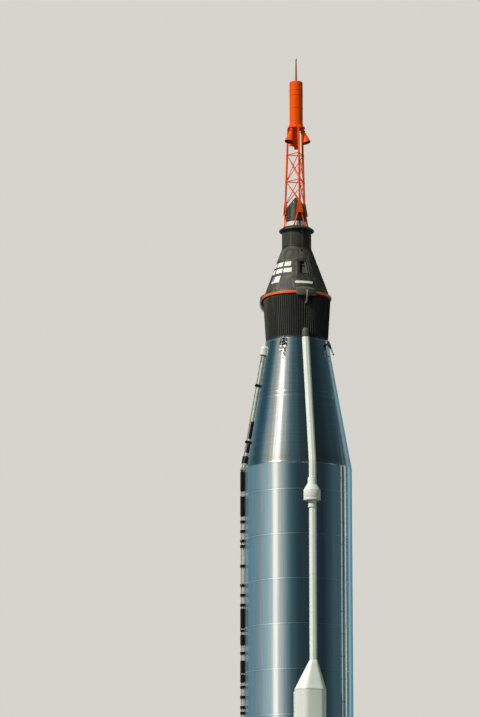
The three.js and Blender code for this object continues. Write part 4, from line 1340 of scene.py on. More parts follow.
def build_clamp_fairing(name, azimuth, out):
    """A boat-shaped cover over a joint in the clamp ring, its ends drawn in to the cone, and its strap."""
    reach = 17.2

    def swell_at(turn):
        return 0.1 + 0.9 * math.cos(math.radians(78 * turn / reach)) ** 0.75

    cover = Shape()
    rows = []
    for turn in bow(-reach, reach, 41):
        drawn_in, swell = abs(turn / reach) ** 6, swell_at(turn)
        foot_z, top_z = 20.685 + 0.03 * drawn_in, 20.962 - 0.045 * drawn_in
        profile = [
            (out + 0.001, foot_z),
            (out + 0.004 + 0.044 * swell, foot_z + 0.004),
            (out + 0.006 + 0.064 * swell, foot_z + 0.035),
            (out + 0.006 + 0.070 * swell, 20.78),
            (out + 0.004 + 0.066 * swell, 20.87),
            (cone_radius(20.92) + 0.02 + 0.072 * swell, 20.925 - 0.02 * drawn_in),
            (cone_radius(top_z) + 0.012 + 0.036 * swell, top_z - 0.008),
            (cone_radius(top_z) + 0.004, top_z),
            (cone_radius(20.845) + 0.003, 20.845),
            (out + 0.001, 20.842),
        ]
        rows.append([point_at(azimuth + turn, r, z) for r, z in profile])
    cover.solid(rows)
    piece(f"{name}_cover", cover, COVER, stands_for=[name])

    # A flat cable strap hangs in a bend under the fairing, down to a clip on the adapter.
    strap = Shape()
    path = [(1.02, 20.865), (1.056, 20.80), (1.068, 20.72), (1.058, 20.64), (1.024, 20.56)]
    path += [(0.98, 20.505), (0.93, 20.484)]
    bend = [point_at(azimuth, r, z) for r, z in smooth_path(path, 5)]
    side = point_at(azimuth + 90, 1, 0)
    corners = [(-0.016, -0.02), (0.016, -0.02), (0.02, 0), (0.016, 0.02), (-0.016, 0.02), (-0.02, 0)]
    rows = []
    for i, p in enumerate(bend):
        along = (bend[min(i + 1, len(bend) - 1)] - bend[max(i - 1, 0)]).normalized()
        out_way = along.cross(side).normalized()
        rows.append([p + side * u + out_way * v for u, v in corners])
    strap.solid(rows)
    piece(f"{name}_strap", strap, WEBBING)
    # A dark web stands between the strap and the adapter's wall.
    web = Shape()
    rows = []
    for p in bend[:-3]:
        reach_out, wall = math.hypot(p.x, p.y) - 0.012, 0.908 + (p.z - 20.4) * 0.05
        section = ((-0.75, wall), (-0.75, reach_out), (0.75, reach_out), (0.75, wall))
        rows.append([point_at(azimuth + t, r, p.z) for t, r in section])
    web.solid(rows)
    piece(f"{name}_web", web, BLACK)
    clip_block = Shape()
    clip_block.block(0.07, 0.03, 0.045, near(azimuth, 0.936, 20.482, 3), 0.004)
    piece(f"{name}_clip", clip_block, BLACK)
    heads = Shape()
    for turn in (-14, -9, -4, 4, 9, 14):
        radius = out + 0.0055 + 0.068 * swell_at(turn)
        heads.studs([near(azimuth + turn, radius, z) for z in (20.735, 20.84)], height=0.004)
    heads.hexes([near(azimuth, 0.951, 20.482, 3, x=x) for x in (-0.022, 0.022)], 0.014, 0.008)
    piece(f"{name}_screws", heads, DARK_STEEL)


def smooth_path(points, steps):
    """A smooth curve through points, with a number of steps in each stretch."""
    points = [Vector(p) for p in points]
    made = []
    for i in range(len(points) - 1):
        a, b = points[max(i - 1, 0)], points[i]
        c, d = points[i + 1], points[min(i + 2, len(points) - 1)]
        even, square, cube = c - a, 2 * a - 5 * b + 4 * c - d, 3 * b - a - 3 * c + d
        for k in range(steps):
            t = k / steps
            made.append(0.5 * (2 * b + even * t + square * t * t + cube * t ** 3))
    made.append(points[-1])
    return made


build_clamp_ring()


# Top of the capsule: recovery section, flange, insulator band and antenna fairing
VENT_HEIGHT = 22.12


def build_top_of_capsule():
    """The recovery section with its beads and screws, and the vent on the cone below it."""
    bottom, top = low("recovery_section"), high("recovery_section")
    skin = NECK_RADIUS - 0.004

    def beads(azimuth, z):
        return rib(azimuth, 60, 0.005, 0.5) * smooth_band(z, bottom + 0.07, top - 0.05)

    section = Shape()
    profile = [(0, bottom), (NECK_RADIUS - 0.016, bottom), (NECK_RADIUS - 0.016, bottom + 0.014)]
    profile += [(NECK_RADIUS, bottom + 0.014), (NECK_RADIUS, bottom + 0.046), (skin, bottom + 0.05)]
    heights = [bottom + 0.07, *bow(bottom + 0.1, top - 0.07, 5), top - 0.05, top - 0.03, top]
    section.turned([*profile, *((skin, z) for z in heights), (0, top)], 480, ripple=beads)
    piece("recovery_can", section, CABIN_BLACK, stands_for=["recovery_section"])
    screws = Shape()
    screws.studs(round_about(48, NECK_RADIUS, bottom + 0.03), 0.005)
    screws.studs(round_about(48, NECK_RADIUS - 0.003, top - 0.018), 0.005)
    piece("recovery_screws", screws, DARK_STEEL)
    vent = Shape()
    rim = [(0, 0), (0.03, 0), (0.03, 0.006), (0.024, 0.008), (0.02, 0.002), (0, 0.002)]
    vent.turned(rim, 24, near(2, cone_radius(VENT_HEIGHT) - 0.001, VENT_HEIGHT, 20) @ about("X", 90))
    piece("cone_vent", vent, RUBBER)


def build_tower_flange():
    bottom, top = low("tower_flange"), high("tower_flange")
    rim, inner = outer("tower_flange"), 0.372
    flange = Shape()
    profile = [(0, bottom), (rim - 0.036, bottom), *arc(rim - 0.02, bottom + 0.02, 0.02, -90, 0, 6)]
    profile += [*arc(rim - 0.012, bottom + 0.038, 0.012, 0, 55, 4), (inner + 0.05, top - 0.03)]
    profile += [(inner + 0.03, top - 0.012), (inner, top), (0, top)]
    flange.turned(profile, 144)
    piece("tower_flange_ring", flange, CABIN_BLACK, stands_for=["tower_flange"])
    bolts = Shape()
    down = about("X", 90)
    bolts.hexes([spot @ down for spot in round_about(36, 0.452, bottom)], 0.016, 0.008)
    piece("tower_flange_bolts", bolts, DARK_STEEL)


def build_antenna():
    """The white insulator band and the dark shroud on it, with its buttons and screws."""
    band_low, band_high = low("antenna_insulator"), high("antenna_insulator")
    radius = outer("antenna_insulator")
    band = Shape()
    profile = [(0, band_low), (radius - 0.003, band_low), (radius, band_low + 0.003)]
    profile += [(radius, band_high - 0.003), (radius - 0.003, band_high), (0, band_high)]
    band.turned(profile, 96)
    piece("antenna_band", band, WHITE, stands_for=["antenna_insulator"])

    fairing_low, fairing_top = low("antenna_fairing"), high("antenna_fairing")
    foot, shoulder_radius, shoulder = outer("antenna_fairing"), 0.262, 23.478
    fairing = Shape()
    profile = [
        (0, fairing_low), (foot, fairing_low), (foot, fairing_low + 0.03),
        (foot - 0.004, fairing_low + 0.034)
    ]
    profile += [(foot - 0.008, fairing_low + 0.15), (shoulder_radius + 0.001, shoulder - 0.02)]
    profile += [*arc(shoulder_radius - 0.014, shoulder - 0.012, 0.015, 8, 46, 4), (0.05, fairing_top - 0.012)]
    profile += [(0.034, fairing_top - 0.002), (0.02, fairing_top), (0, fairing_top)]
    fairing.turned(profile, 96)
    piece("antenna_shroud", fairing, CABIN_BLACK, stands_for=["antenna_fairing"])
    buttons = Shape()
    slope = math.degrees(math.atan2(fairing_top - shoulder, shoulder_radius - 0.034))
    for azimuth, z in ((-48, 23.60), (-38, 23.56), (132, 23.58)):
        radius = shoulder_radius - (z - shoulder) / math.tan(math.radians(slope))
        spot = near(azimuth, radius - 0.002, z, 90 - slope)
        buttons.turned([(0, 0), (0.014, 0), (0.013, 0.01), (0, 0.012)], 16, spot @ about("X", 90))
    piece("antenna_buttons", buttons, WHITE)
    lines = Shape()
    lines.studs(round_about(30, foot, fairing_low + 0.016), 0.005)
    for azimuth in (30, 150, 270):
        lines.block(
            0.03, 0.004, shoulder - fairing_low - 0.06,
            near(azimuth, (foot + shoulder_radius) / 2 + 0.0005, (shoulder + fairing_low) / 2 + 0.01, 3.2),
            0.001
        )
    lines.block(0.038, 0.012, 0.14, near(4, 0.286, band_high - 0.075), 0.002)
    piece("antenna_trim", lines, BLACK)


build_top_of_capsule()
build_tower_flange()
build_antenna()


# Escape tower
TOWER = {"top": 25.79, "top_radius": 0.240, "low": 23.239, "low_radius": 0.337, "azimuths": (0, 120, 240)}
TOWER_RAILS = (25.035, 24.245)
BRACES_LOW = 23.56
FOOT = {"radius": 0.305, "spread": 0.165}


def leg_point(i, z):
    share = (TOWER["top"] - z) / (TOWER["top"] - TOWER["low"])
    radius = TOWER["top_radius"] + share * (TOWER["low_radius"] - TOWER["top_radius"])
    return point_at(TOWER["azimuths"][i % 3], radius, z)


def weld_collar(shape, at, along, radius, size=0.007):
    """A ring of weld metal round a bar where it meets another."""
    along = along.normalized()
    shape.tube([at - along * size, at, at + along * size], radius, 14, [radius, radius + size * 0.6, radius])


def build_tower():
    foot_z = high("tower_flange")
    legs = Shape()
    boss = [(0, 0.0005), (0.034, 0.0005), (0.034, 0.010), (0.026, 0.014), (0.024, 0.04), (0, 0.044)]
    gusset = [(-0.096, 0.01), (0.096, 0.01), (0.09, 0.05), (0.03, 0.375), (0.024, 0.395)]
    gusset += [(-0.024, 0.395), (-0.03, 0.375), (-0.09, 0.05)]
    for i, azimuth in enumerate(TOWER["azimuths"]):
        bottom, top = leg_point(i, TOWER["low"] + 0.02), leg_point(i, TOWER["top"] - 0.001)
        legs.tube([bottom, top], 0.029, 20)
        weld_collar(legs, top + Vector((0, 0, -0.012)), Vector((0, 0, 1)), 0.03, 0.011)
        sideways = point_at(azimuth + 90, 1, 0)
        knee = leg_point(i, TOWER["low"] + 0.06)
        for side in (-1, 1):
            foot = point_at(azimuth, FOOT["radius"], foot_z) + sideways * side * FOOT["spread"]
            hip = knee + sideways * side * 0.04
            legs.tube([foot + (hip - foot).normalized() * 0.004, hip], 0.0185, 18)
            # A pin boss with a base plate under each foot
            legs.turned(boss, 24, Matrix.Translation(foot))
        for inward in (0.0, 0.062):
            plate = near(azimuth, TOWER["low_radius"] + 0.026 - inward, TOWER["low"], 2.1)
            legs.slab(gusset, 0.009, plate, 0.002)
        legs.block(0.17, 0.06, 0.012, near(azimuth, TOWER["low_radius"] - 0.003, TOWER["low"] + 0.016), 0.003)
    piece("tower_legs", legs, ORANGE, stands_for=["escape_tower"])

    braces, welds = Shape(), Shape()
    for i in range(3):
        for level in TOWER_RAILS:
            braces.tube([leg_point(i, level), leg_point(i + 1, level)], 0.0135, 14)
        for top, bottom in (TOWER_RAILS, (TOWER_RAILS[1], BRACES_LOW)):
            for first, second in ((i, i + 1), (i + 1, i)):
                a, b = leg_point(first, top), leg_point(second, bottom)
                along = (b - a).normalized()
                braces.tube([a, b], 0.0115, 14)
                for end, way in ((a, along), (b, -along)):
                    weld_collar(welds, end + way * 0.036, along, 0.012, 0.005)
        for level in TOWER_RAILS:
            sleeve = [leg_point(i, level + h) for h in (-0.045, -0.03, 0.03, 0.045)]
            welds.tube(sleeve, 0.03, 20, [0.0292, 0.0335, 0.0335, 0.0292])
    piece("tower_braces", braces, ORANGE)
    piece("tower_welds", welds, ORANGE)

    # A wire runs down inside one leg's back, held by clips.
    wire = Shape()
    inwards = point_at(120, -0.036, 0)
    heights = bow(TOWER["top"] - 0.02, TOWER["low"] + 0.12, 12)
    wire.tube([leg_point(1, z) + inwards for z in heights], 0.007, 10)
    for z in bow(TOWER["top"] - 0.55, TOWER["low"] + 0.6, 3):
        spot = leg_point(1, z)
        wire.tube([spot + Vector((0, 0, h)) for h in (-0.008, 0.008)], 0.0315, 20)
    piece("tower_wire", wire, ORANGE)


MOTOR_BANDS = (26.388, 26.774, 26.917)


def build_escape_motor():
    bottom, top, radius = low("escape_motor"), high("escape_motor"), outer("escape_motor")
    case = Shape()
    skin, shoulder = radius - 0.004, 0.055
    profile = [(0, bottom), (radius, bottom), (radius, bottom + 0.05), (radius - 0.005, bottom + 0.055)]
    for z in MOTOR_BANDS:
        profile += [(skin, z - 0.016), (radius, z - 0.013), (radius, z - 0.002), (radius - 0.0025, z)]
        profile += [(radius, z + 0.002), (radius, z + 0.013), (skin, z + 0.016)]
    profile += [
        (skin, top - shoulder - 0.01), *arc(radius - shoulder - 0.004, top - shoulder, shoulder, 5, 90, 9)
    ]
    case.turned([*profile, (0, top)], 96)
    piece("escape_motor_case", case, ORANGE, stands_for=["escape_motor"])
    bolts = Shape()
    for z in reversed(MOTOR_BANDS):
        places = [near(10 * i, radius, z + h) for i in range(36) for h in (-0.0075, 0.0075)]
        bolts.studs(places, 0.0035, 0.002)
    bolts.hexes(round_about(24, radius, bottom + 0.025), 0.013, 0.006)
    piece("escape_motor_bolts", bolts, ORANGE)

    low_z, top_z, rim = low("motor_collar"), high("motor_collar"), outer("motor_collar")
    collar = Shape()
    profile = [(0, low_z), (rim - 0.004, low_z), (rim, low_z + 0.003), (rim, low_z + 0.017)]
    profile += [(rim - 0.004, low_z + 0.02), (0.225, low_z + 0.026), (0.212, top_z - 0.02)]
    profile += [(0.207, top_z - 0.01), (0.207, top_z), (0, top_z)]
    collar.turned(profile, 96)
    for i in range(12):
        collar.block(0.008, 0.032, 0.055, near(30 * i + 15, 0.225, (low_z + top_z) / 2 + 0.004, 20), 0.002)
    piece("motor_collar_ring", collar, ORANGE, stands_for=["motor_collar"])

    foot, tip = low("aerospike"), high("aerospike")
    spike = Shape()
    profile = [(0, foot), (0.052, foot), (0.05, foot + 0.008), *arc(0.054, foot + 0.034, 0.024, 225, 180, 4)]
    profile += [(0.03, foot + 0.05), (0.02, tip - 0.075), (0, tip - 0.075)]
    spike.turned(profile, 40)
    piece("aerospike_mast", spike, SPIKE_PAINT, stands_for=["aerospike"])
    knob = Shape()
    knob.turned([(0, tip - 0.076), (0.022, tip - 0.076), *arc(0.0, tip - 0.03, 0.0265, -40, 90, 9)], 32)
    knob.turned([(0, tip - 0.07), (0.026, tip - 0.066), (0.026, tip - 0.058), (0, tip - 0.055)], 32)
    piece("aerospike_knob", knob, PALE_METAL, slot="polished_steel")

    foot, head = low("jettison_motor"), high("jettison_motor")
    jet = Shape()
    profile = [(0, foot + 0.06), (0.05, foot + 0.06), (0.056, foot), (0.062, foot), (0.06, foot + 0.05)]
    profile += [(0.07, foot + 0.065), (0.1, foot + 0.11), (0.1, foot + 0.2), (0.104, foot + 0.203)]
    profile += [(0.104, foot + 0.225), (0.1, foot + 0.228), (0.1, head), (0, head)]
    jet.turned(profile, 64)
    piece("jettison_motor_case", jet, ORANGE, stands_for=["jettison_motor"])


def build_escape_nozzles():
    root, exit_radius, exit_z = 0.160, 0.300, 25.35
    rise = TOWER["top"] - exit_z
    tilt = math.atan2(exit_radius - root, rise)
    length = rise / math.cos(tilt)
    mouth, throat, wall = 0.128, 0.045, 0.009
    flare = mouth - throat - 0.006
    bell = [(throat + 0.006 + flare * s ** 1.08, -length + 0.36 - 0.35 * s) for s in bow(0, 1, 12)]
    rim = [(mouth, -length + 0.006), (mouth - 0.002, -length), (mouth - wall + 0.001, -length)]
    inside = [(r - wall, z + 0.003) for r, z in reversed(bell)]
    profile = [(0, -0.045), (throat + 0.012, -0.045), (throat + 0.012, -0.07), (throat, -0.075)]
    profile += [*bell, *rim, *inside, (0.012, -length + 0.42), (0, -length + 0.42)]
    collar = [(throat + 0.03, -0.10), (throat + 0.034, -0.105), (throat + 0.034, -0.115)]
    collar += [(0.02, -0.12), (0.02, -0.095)]
    lining = [(r - wall - 0.0015, z + 0.004) for r, z in bell]
    lining += [(r - 0.002, z) for r, z in reversed(lining)]
    for number, azimuth in enumerate((60, 180, 300), 1):
        name = f"escape_nozzle_{number}"
        place = near(azimuth, root, TOWER["top"]) @ Matrix.Rotation(-tilt, 4, "X")
        nozzle = Shape()
        nozzle.turned(profile, 64, place)
        nozzle.turned(collar, 32, place, closed=True)
        piece(f"{name}_bell", nozzle, ORANGE, stands_for=[name])
        soot = Shape()
        soot.turned(lining, 64, place, closed=True)
        piece(f"{name}_lining", soot, SOOT, slot="dark_steel")


build_tower()
build_escape_motor()
build_escape_nozzles()


# Lines down the tank: raceway, gyro housing, equipment pods, vent line and conduits
def round_corners(corners, radius, steps=4):
    """An outline with each corner cut back by a radius and rounded."""
    made = []
    count = len(corners)
    for i, corner in enumerate(corners):
        here = Vector(corner)
        before = (Vector(corners[i - 1]) - here)
        after = (Vector(corners[(i + 1) % count]) - here)
        reach = min(radius, before.length * 0.45, after.length * 0.45)
        a, b = here + before.normalized() * reach, here + after.normalized() * reach
        for k in range(steps + 1):
            t = k / steps
            made.append(tuple(a * (1 - t) ** 2 + here * 2 * t * (1 - t) + b * t * t))
    return made


RACEWAY_JOINTS = (18.28, 17.05, 13.8, 12.75, 11.7)


def raceway_level(z, grow=0.0):
    """The raceway's section: a flat front between two bevels, its back in the tank's skin."""
    wide, front, foot, proud = RACEWAY_RADIUS + grow, 0.045 + grow * 0.4, 0.045, 0.102 + grow
    skin = tank_radius(z)
    corners = [(-wide, 0.03 - skin), (-wide, -skin - foot), (-front, -skin - proud)]
    return round_corners(mirrored(corners), 0.016), z


def build_raceway():
    cover, lower = Shape(), Shape()
    top, collar = high("raceway_upper"), low("raceway_upper")
    levels = (collar, SHOULDER - 0.05, SHOULDER - 0.02, SHOULDER, SHOULDER + 0.05, top)
    cover.loft([raceway_level(z) for z in levels])
    piece("raceway_upper_cover", cover, WHITE, stands_for=["raceway_upper"])
    bottom, neck = low("raceway_lower"), high("raceway_lower")
    lower.loft([raceway_level(z) for z in (bottom, neck)])
    piece("raceway_lower_cover", lower, WHITE, stands_for=["raceway_lower"])
    # Joint straps and the screws that hold the cover's edges down
    straps, screws = Shape(), Shape()
    for z in RACEWAY_JOINTS:
        straps.loft([raceway_level(z - 0.03, 0.0022), raceway_level(z + 0.03, 0.0022)])
    # A flange runs down each edge of the cover, screwed to the tank.
    stretches = ((bottom + 0.01, neck - 0.01), (collar + 0.01, SHOULDER), (SHOULDER, top - 0.01))
    for side in (-1, 1):
        for low_z, high_z in stretches:
            rows = []
            for z in bow(low_z, high_z, 12):
                skin = tank_radius(z)
                a = side * math.degrees((RACEWAY_RADIUS - 0.006) / skin)
                b = side * math.degrees((RACEWAY_RADIUS + 0.008) / skin)
                corners = ((a, -0.004), (a, 0.0045), (b, 0.004), (b, -0.004))
                rows.append([point_at(turn, skin + out, z) for turn, out in corners])
            straps.solid(rows)
        for z in [*bow(bottom + 0.15, neck - 0.1, 32), *bow(collar + 0.15, top - 0.1, 28)]:
            turn = side * math.degrees((RACEWAY_RADIUS + 0.002) / tank_radius(z))
            tilt = 10 if z > SHOULDER else 0
            screws.studs([near(turn, tank_radius(z) + 0.004, z, tilt)], 0.0045, 0.002)
    piece("raceway_straps", straps, WHITE)
    piece("raceway_screws", screws, DARK_STEEL)


def build_gyro():
    side = shifted(-0.015, -TANK - 0.005, 0)
    middle = shifted(-0.015, -TANK + 0.024, 0)
    housing = Shape()
    body_top, body_low, neck_low, top = 15.064, 14.774, low("gyro_housing"), high("gyro_housing")
    profile = [(0, body_low), (0.232, body_low), *arc(0.232, body_low + 0.008, 0.008, -90, 0, 4)]
    profile += [(0.24, body_low + 0.06), (0.2385, body_low + 0.063), (0.24, body_low + 0.066)]
    profile += [(0.24, body_top - 0.006), (0.238, body_top), (0.134, top - 0.168), (0.13, top - 0.16)]
    housing.turned([*profile, (0, top - 0.16)], 96, middle)
    neck = [(0, body_top), (0.12, body_top), (0.12, top - 0.03), (0.117, top - 0.025), (0.117, top - 0.012)]
    housing.turned([*neck, (0.12, top - 0.008), (0.12, top), (0, top)], 64, side)
    foot = [(0, neck_low), (0.113, neck_low), (0.113, body_low + 0.04), (0, body_low + 0.04)]
    housing.turned(foot, 64, side)
    piece("gyro_canister", housing, WHITE, stands_for=["gyro_housing"])
    hoops, screws = Shape(), Shape()
    places = ((neck_low + 0.03, 0.014, 0.116), (body_low - 0.035, 0.02, 0.118), (top - 0.075, 0.012, 0.123))
    for z, half, reach in places:
        section = [(reach - 0.02, z - half), (reach, z - half), (reach + 0.001, z), (reach, z + half)]
        hoops.turned([*section, (reach - 0.02, z + half)], 64, side, closed=True)
    piece("gyro_hoops", hoops, WHITE)
    for turn in range(-80, 81, 10):
        screws.studs([middle @ near(turn, 0.2395, z) for z in (body_low + 0.03, body_top - 0.02)])
    piece("gyro_screws", screws, DARK_STEEL)


POD = {"half": 0.430, "face": 0.238, "proud": 0.370, "side": 0.160, "offset": -0.100, "skew": 0.035}
POD.update(bottom=3.7, top=9.551, apex=10.384)
POD_NOSE = {"half": 0.097, "face": 0.050, "proud": 0.102, "side": 0.055, "offset": 0.0, "skew": 0.0}


POD_SEAMS = (4.95, 6.2, 7.45, 8.7)


def pod_outline(z, grow=0.0):
    """The pod's section: six corners that shrink towards the apex, the outer four rounded."""
    share = clip((z - POD["top"]) / (POD["apex"] - POD["top"]))
    half, face, proud, side, offset, skew = (
        POD[key] + (POD_NOSE[key] - POD[key]) * share for key in POD_NOSE
    )
    inside = TANK - 0.09
    corners = [
        (-half - grow, -inside),
        (-half - grow, -TANK - side - grow * 0.5),
        (skew - face - grow * 0.6, -TANK - proud - grow),
        (skew + face + grow * 0.6, -TANK - proud - grow),
        (half + grow, -TANK - side - grow * 0.5),
        (half + grow, -inside),
    ]
    return [(x + offset, y) for x, y in round_corners(corners, 0.085 - 0.065 * share)]


def build_pods():
    bottom, top, apex = POD["bottom"], POD["top"], POD["apex"]
    front, offset = TANK + POD["proud"], POD["offset"] + POD["skew"]
    for name, turn in (("equipment_pod_front", 0), ("equipment_pod_rear", 180)):
        spin = about("Z", turn)
        body = Shape()
        levels = [(pod_outline(bottom, -0.02), bottom), (pod_outline(bottom), bottom + 0.02)]
        for seam in POD_SEAMS:
            levels += [(pod_outline(seam), seam - 0.005), (pod_outline(seam, -0.005), seam - 0.002)]
            levels += [(pod_outline(seam, -0.005), seam + 0.002), (pod_outline(seam), seam + 0.005)]
        levels += [(pod_outline(top), top - 0.006), (pod_outline(top, -0.004), top - 0.002)]
        body.loft(levels, spin)
        piece(f"{name}_body", body, WHITE, stands_for=[name])
        # The nose's foot stands a little proud of the body.
        nose = Shape()
        levels = [(pod_outline(top, -0.03), top - 0.012)]
        levels += [(pod_outline(top, 0.006), top + h) for h in (-0.010, 0.006)]
        levels += [(pod_outline(z, 0.001), z) for z in bow(top + 0.05, apex - 0.02, 8)]
        levels += [(pod_outline(apex, -0.01), apex - 0.002)]
        nose.loft(levels, spin)
        piece(f"{name}_nose", nose, WHITE)

        trim, screws = Shape(), Shape()
        for low_z, high_z in zip([bottom + 0.02, *POD_SEAMS], [*POD_SEAMS, top]):
            tall = high_z - low_z
            if tall > 0.9:
                reach = tall * 0.28
                door = spin @ near(0, front - 0.001, (low_z + high_z) / 2, x=offset)
                trim.block(0.29, 0.012, tall * 0.62, door, 0.004)
                for x in (-0.13, 0.13):
                    screws.studs([door @ shifted(x, -0.006, z) for z in bow(-reach, reach, 7)], 0.007)
                for z in (-reach, reach):
                    screws.studs([door @ shifted(x, -0.006, z) for x in bow(-0.08, 0.08, 4)], 0.007)
            for z in (low_z + 0.03, high_z - 0.03):
                screws.studs([spin @ near(0, front - 0.0005, z, x=offset + x) for x in bow(-0.145, 0.145, 6)])
        # Rivets down both long sides, where the pod is fastened to its frames
        for side in (-1, 1):
            x = POD["offset"] + side * (POD["half"] - 0.0005)
            for z in bow(bottom + 0.1, top - 0.1, 60):
                screws.studs([spin @ shifted(x, -TANK - 0.03, z) @ about("Z", 90 * side)])
            # Foot angle along the tank
            angle = spin @ shifted(x + side * 0.002, -TANK + 0.065, (bottom + top) / 2)
            trim.block(0.012, 0.05, top - bottom - 0.12, angle, 0.002)
        piece(f"{name}_doors", trim, WHITE)
        piece(f"{name}_screws", screws, PALE_METAL, slot="white_paint")


# Heights read along the vent and pressure line: [low, high] of its sleeves, and its clamps
SLEEVES = [
    (15.205, 15.771), (14.5, 15.084), (11.27, 11.921), (10.893, 11.193), (9.869, 10.475), (6.9, 7.45),
    (5.6, 6.15)
]
CLAMPS = [14.348, 14.078, 13.812, 13.657, 13.105, 12.568, 12.292, 12.016, 10.68, 9.74, 9.464, 9.183, 9.026]
CLAMPS += [8.72, 8.33, 7.95, 7.6, 6.75, 6.4, 5.45, 5.15]
# On the taper: [low, high, both tubes] for the sleeves, which else sit on the inner tube
TAPER_SLEEVES = [(16.70, 17.20, False), (16.30, 16.56, False), (15.999, 16.213, True)]
TAPER_CLAMPS = [18.24, 16.614]


# Where the two tubes stand beside each line's middle: {side: [aside, off the tank]}
VENT_TUBES = {1: (0.024, 0.030), -1: (-0.024, 0.082)}
LINE_TUBES = {1: (0.026, 0.038), -1: (-0.026, 0.092)}


def build_vent_line():
    turn = about("Z", -90)
    cap_low, cap_high, radius = low("vent_cap"), high("vent_cap"), 0.106
    cap_centre = tank_radius((19.112 + 19.402) / 2) + 0.038
    cap = Shape()
    profile = [(0, cap_low), (radius - 0.004, cap_low), (radius, cap_low + 0.004), (radius, cap_low + 0.03)]
    profile += [(radius - 0.004, cap_low + 0.034), (radius - 0.004, cap_high - radius)]
    profile += arc(0, cap_high - radius, radius - 0.003, 4, 90, 10)
    half_way = (cap_low + cap_high) / 2
    middle = turn @ shifted(0, -cap_centre, half_way)
    cap.turned(profile, 64, middle @ about("X", -8) @ shifted(0, 0, -half_way))
    piece("vent_cap_dome", cap, WHITE, stands_for=["vent_cap"])

    # Two tubes come down the taper to the elbow at the shoulder, the outer one a little further back.
    tube = 0.021
    foot, head = low("vent_tubes"), high("vent_tubes")

    def beside(side, z):
        x, standoff = VENT_TUBES[side]
        return turn @ Vector((x, -tank_radius(z) - standoff, z))

    tubes = Shape()
    for side in (-1, 1):
        tubes.tube([beside(side, z) for z in (foot + 0.01, head)], tube, 20)
    piece("vent_pipes", tubes, PIPE_GREY, slot="dark_steel", stands_for=["vent_tubes"])
    sleeves, clamps, fittings = Shape(), Shape(), Shape()
    for low_z, high_z, both in TAPER_SLEEVES:
        for side in (-1, 1) if both else (1,):
            a, b = beside(side, low_z), beside(side, high_z)
            radii = [tube + 0.003, tube + 0.008, tube + 0.008, tube + 0.003]
            sleeves.tube([a, a.lerp(b, 0.06), a.lerp(b, 0.94), b], tube, 20, radii)
    for z in TAPER_CLAMPS:
        flat = turn @ shifted(0, -tank_radius(z) - 0.06, z) @ about("X", -10)
        clamps.block(0.12, 0.11, 0.065, flat, 0.008)
        clamps.hexes([flat @ shifted(0, -0.055, 0)], 0.02, 0.012)
    for z, tall, side in ((16.49, 0.035, -1), (16.36, 0.03, -1), (15.93, 0.04, -1), (15.93, 0.04, 1)):
        fittings.tube([beside(side, z - tall), beside(side, z + tall)], tube + 0.006, 12)

    # The line down the cylinder: two tubes, rubber sleeves and clamps, and a saddle at each ring weld
    tube = 0.026
    bottom, top = low("pressure_line"), high("pressure_line")
    pipes = Shape()
    axis = turn @ shifted(0, -TANK - 0.068, 0)

    def on_line(side, z):
        x, standoff = LINE_TUBES[side]
        return turn @ Vector((x, -TANK - standoff, z))

    for side in (-1, 1):
        pipes.tube([on_line(side, z) for z in (bottom, top)], tube, 20)
    for z in (top - 0.03, bottom + 0.03):
        pipes.block(0.124, 0.12, 0.06, axis @ shifted(0, 0, z), 0.008)
    weld = FIRST_WELD - 0.04
    while weld > bottom + 0.3:
        pipes.block(0.124, 0.112, 0.044, axis @ shifted(0, 0, weld), 0.006)
        weld -= WELD_PITCH
    piece("pressure_pipes", pipes, PIPE_GREY, slot="grey_paint", stands_for=["pressure_line"])

    def oblong(width, depth, grow=0.0):
        w, d = width + grow, depth + grow
        return round_corners([(-w, -d), (w, -d), (w, d), (-w, d)], 0.03, 5)

    for low_z, high_z in SLEEVES:
        full, drawn_in = oblong(0.060, 0.057), oblong(0.060, 0.057, -0.01)
        levels = [(drawn_in, low_z), (full, low_z + 0.015), (full, high_z - 0.015), (drawn_in, high_z)]
        sleeves.loft(levels, axis)
    for z in CLAMPS:
        clamps.loft([(oblong(0.064, 0.059), z + h) for h in (-0.036, 0.036)], axis)
        clamps.hexes([axis @ shifted(0, -0.059, z)], 0.018, 0.01)
    for z in (15.8, 15.14, 11.23, 10.84, 9.82):
        for side in (-1, 1):
            fittings.tube([on_line(side, h) for h in (z - 0.018, z + 0.018)], tube + 0.003, 6)
    piece("line_sleeves", sleeves, RUBBER, slot="grey_paint")
    piece("line_clamps", clamps, RUBBER, slot="grey_paint")
    piece("line_fittings", fittings, PALE_METAL)


# Instrument conduits: [azimuth, half its width, how far its walls lean in]
CONDUITS = [(36.9, 0.026, 0.010), (40.7, 0.027, 0.002)]


def conduit_rows(azimuth, wide, lean, levels):
    """Sections of a square conduit's cover with rounded shoulders, from [height, growth] levels."""
    rows = []
    for z, grow in levels:
        half, tall = wide + grow, 0.032 + grow
        corners = mirrored([(-half, -0.01), (-half + lean, tall - 0.006), (-half + lean + 0.004, tall)])
        rows.append([point_at(azimuth + math.degrees(u / TANK), TANK + v, z) for u, v in corners])
    return rows


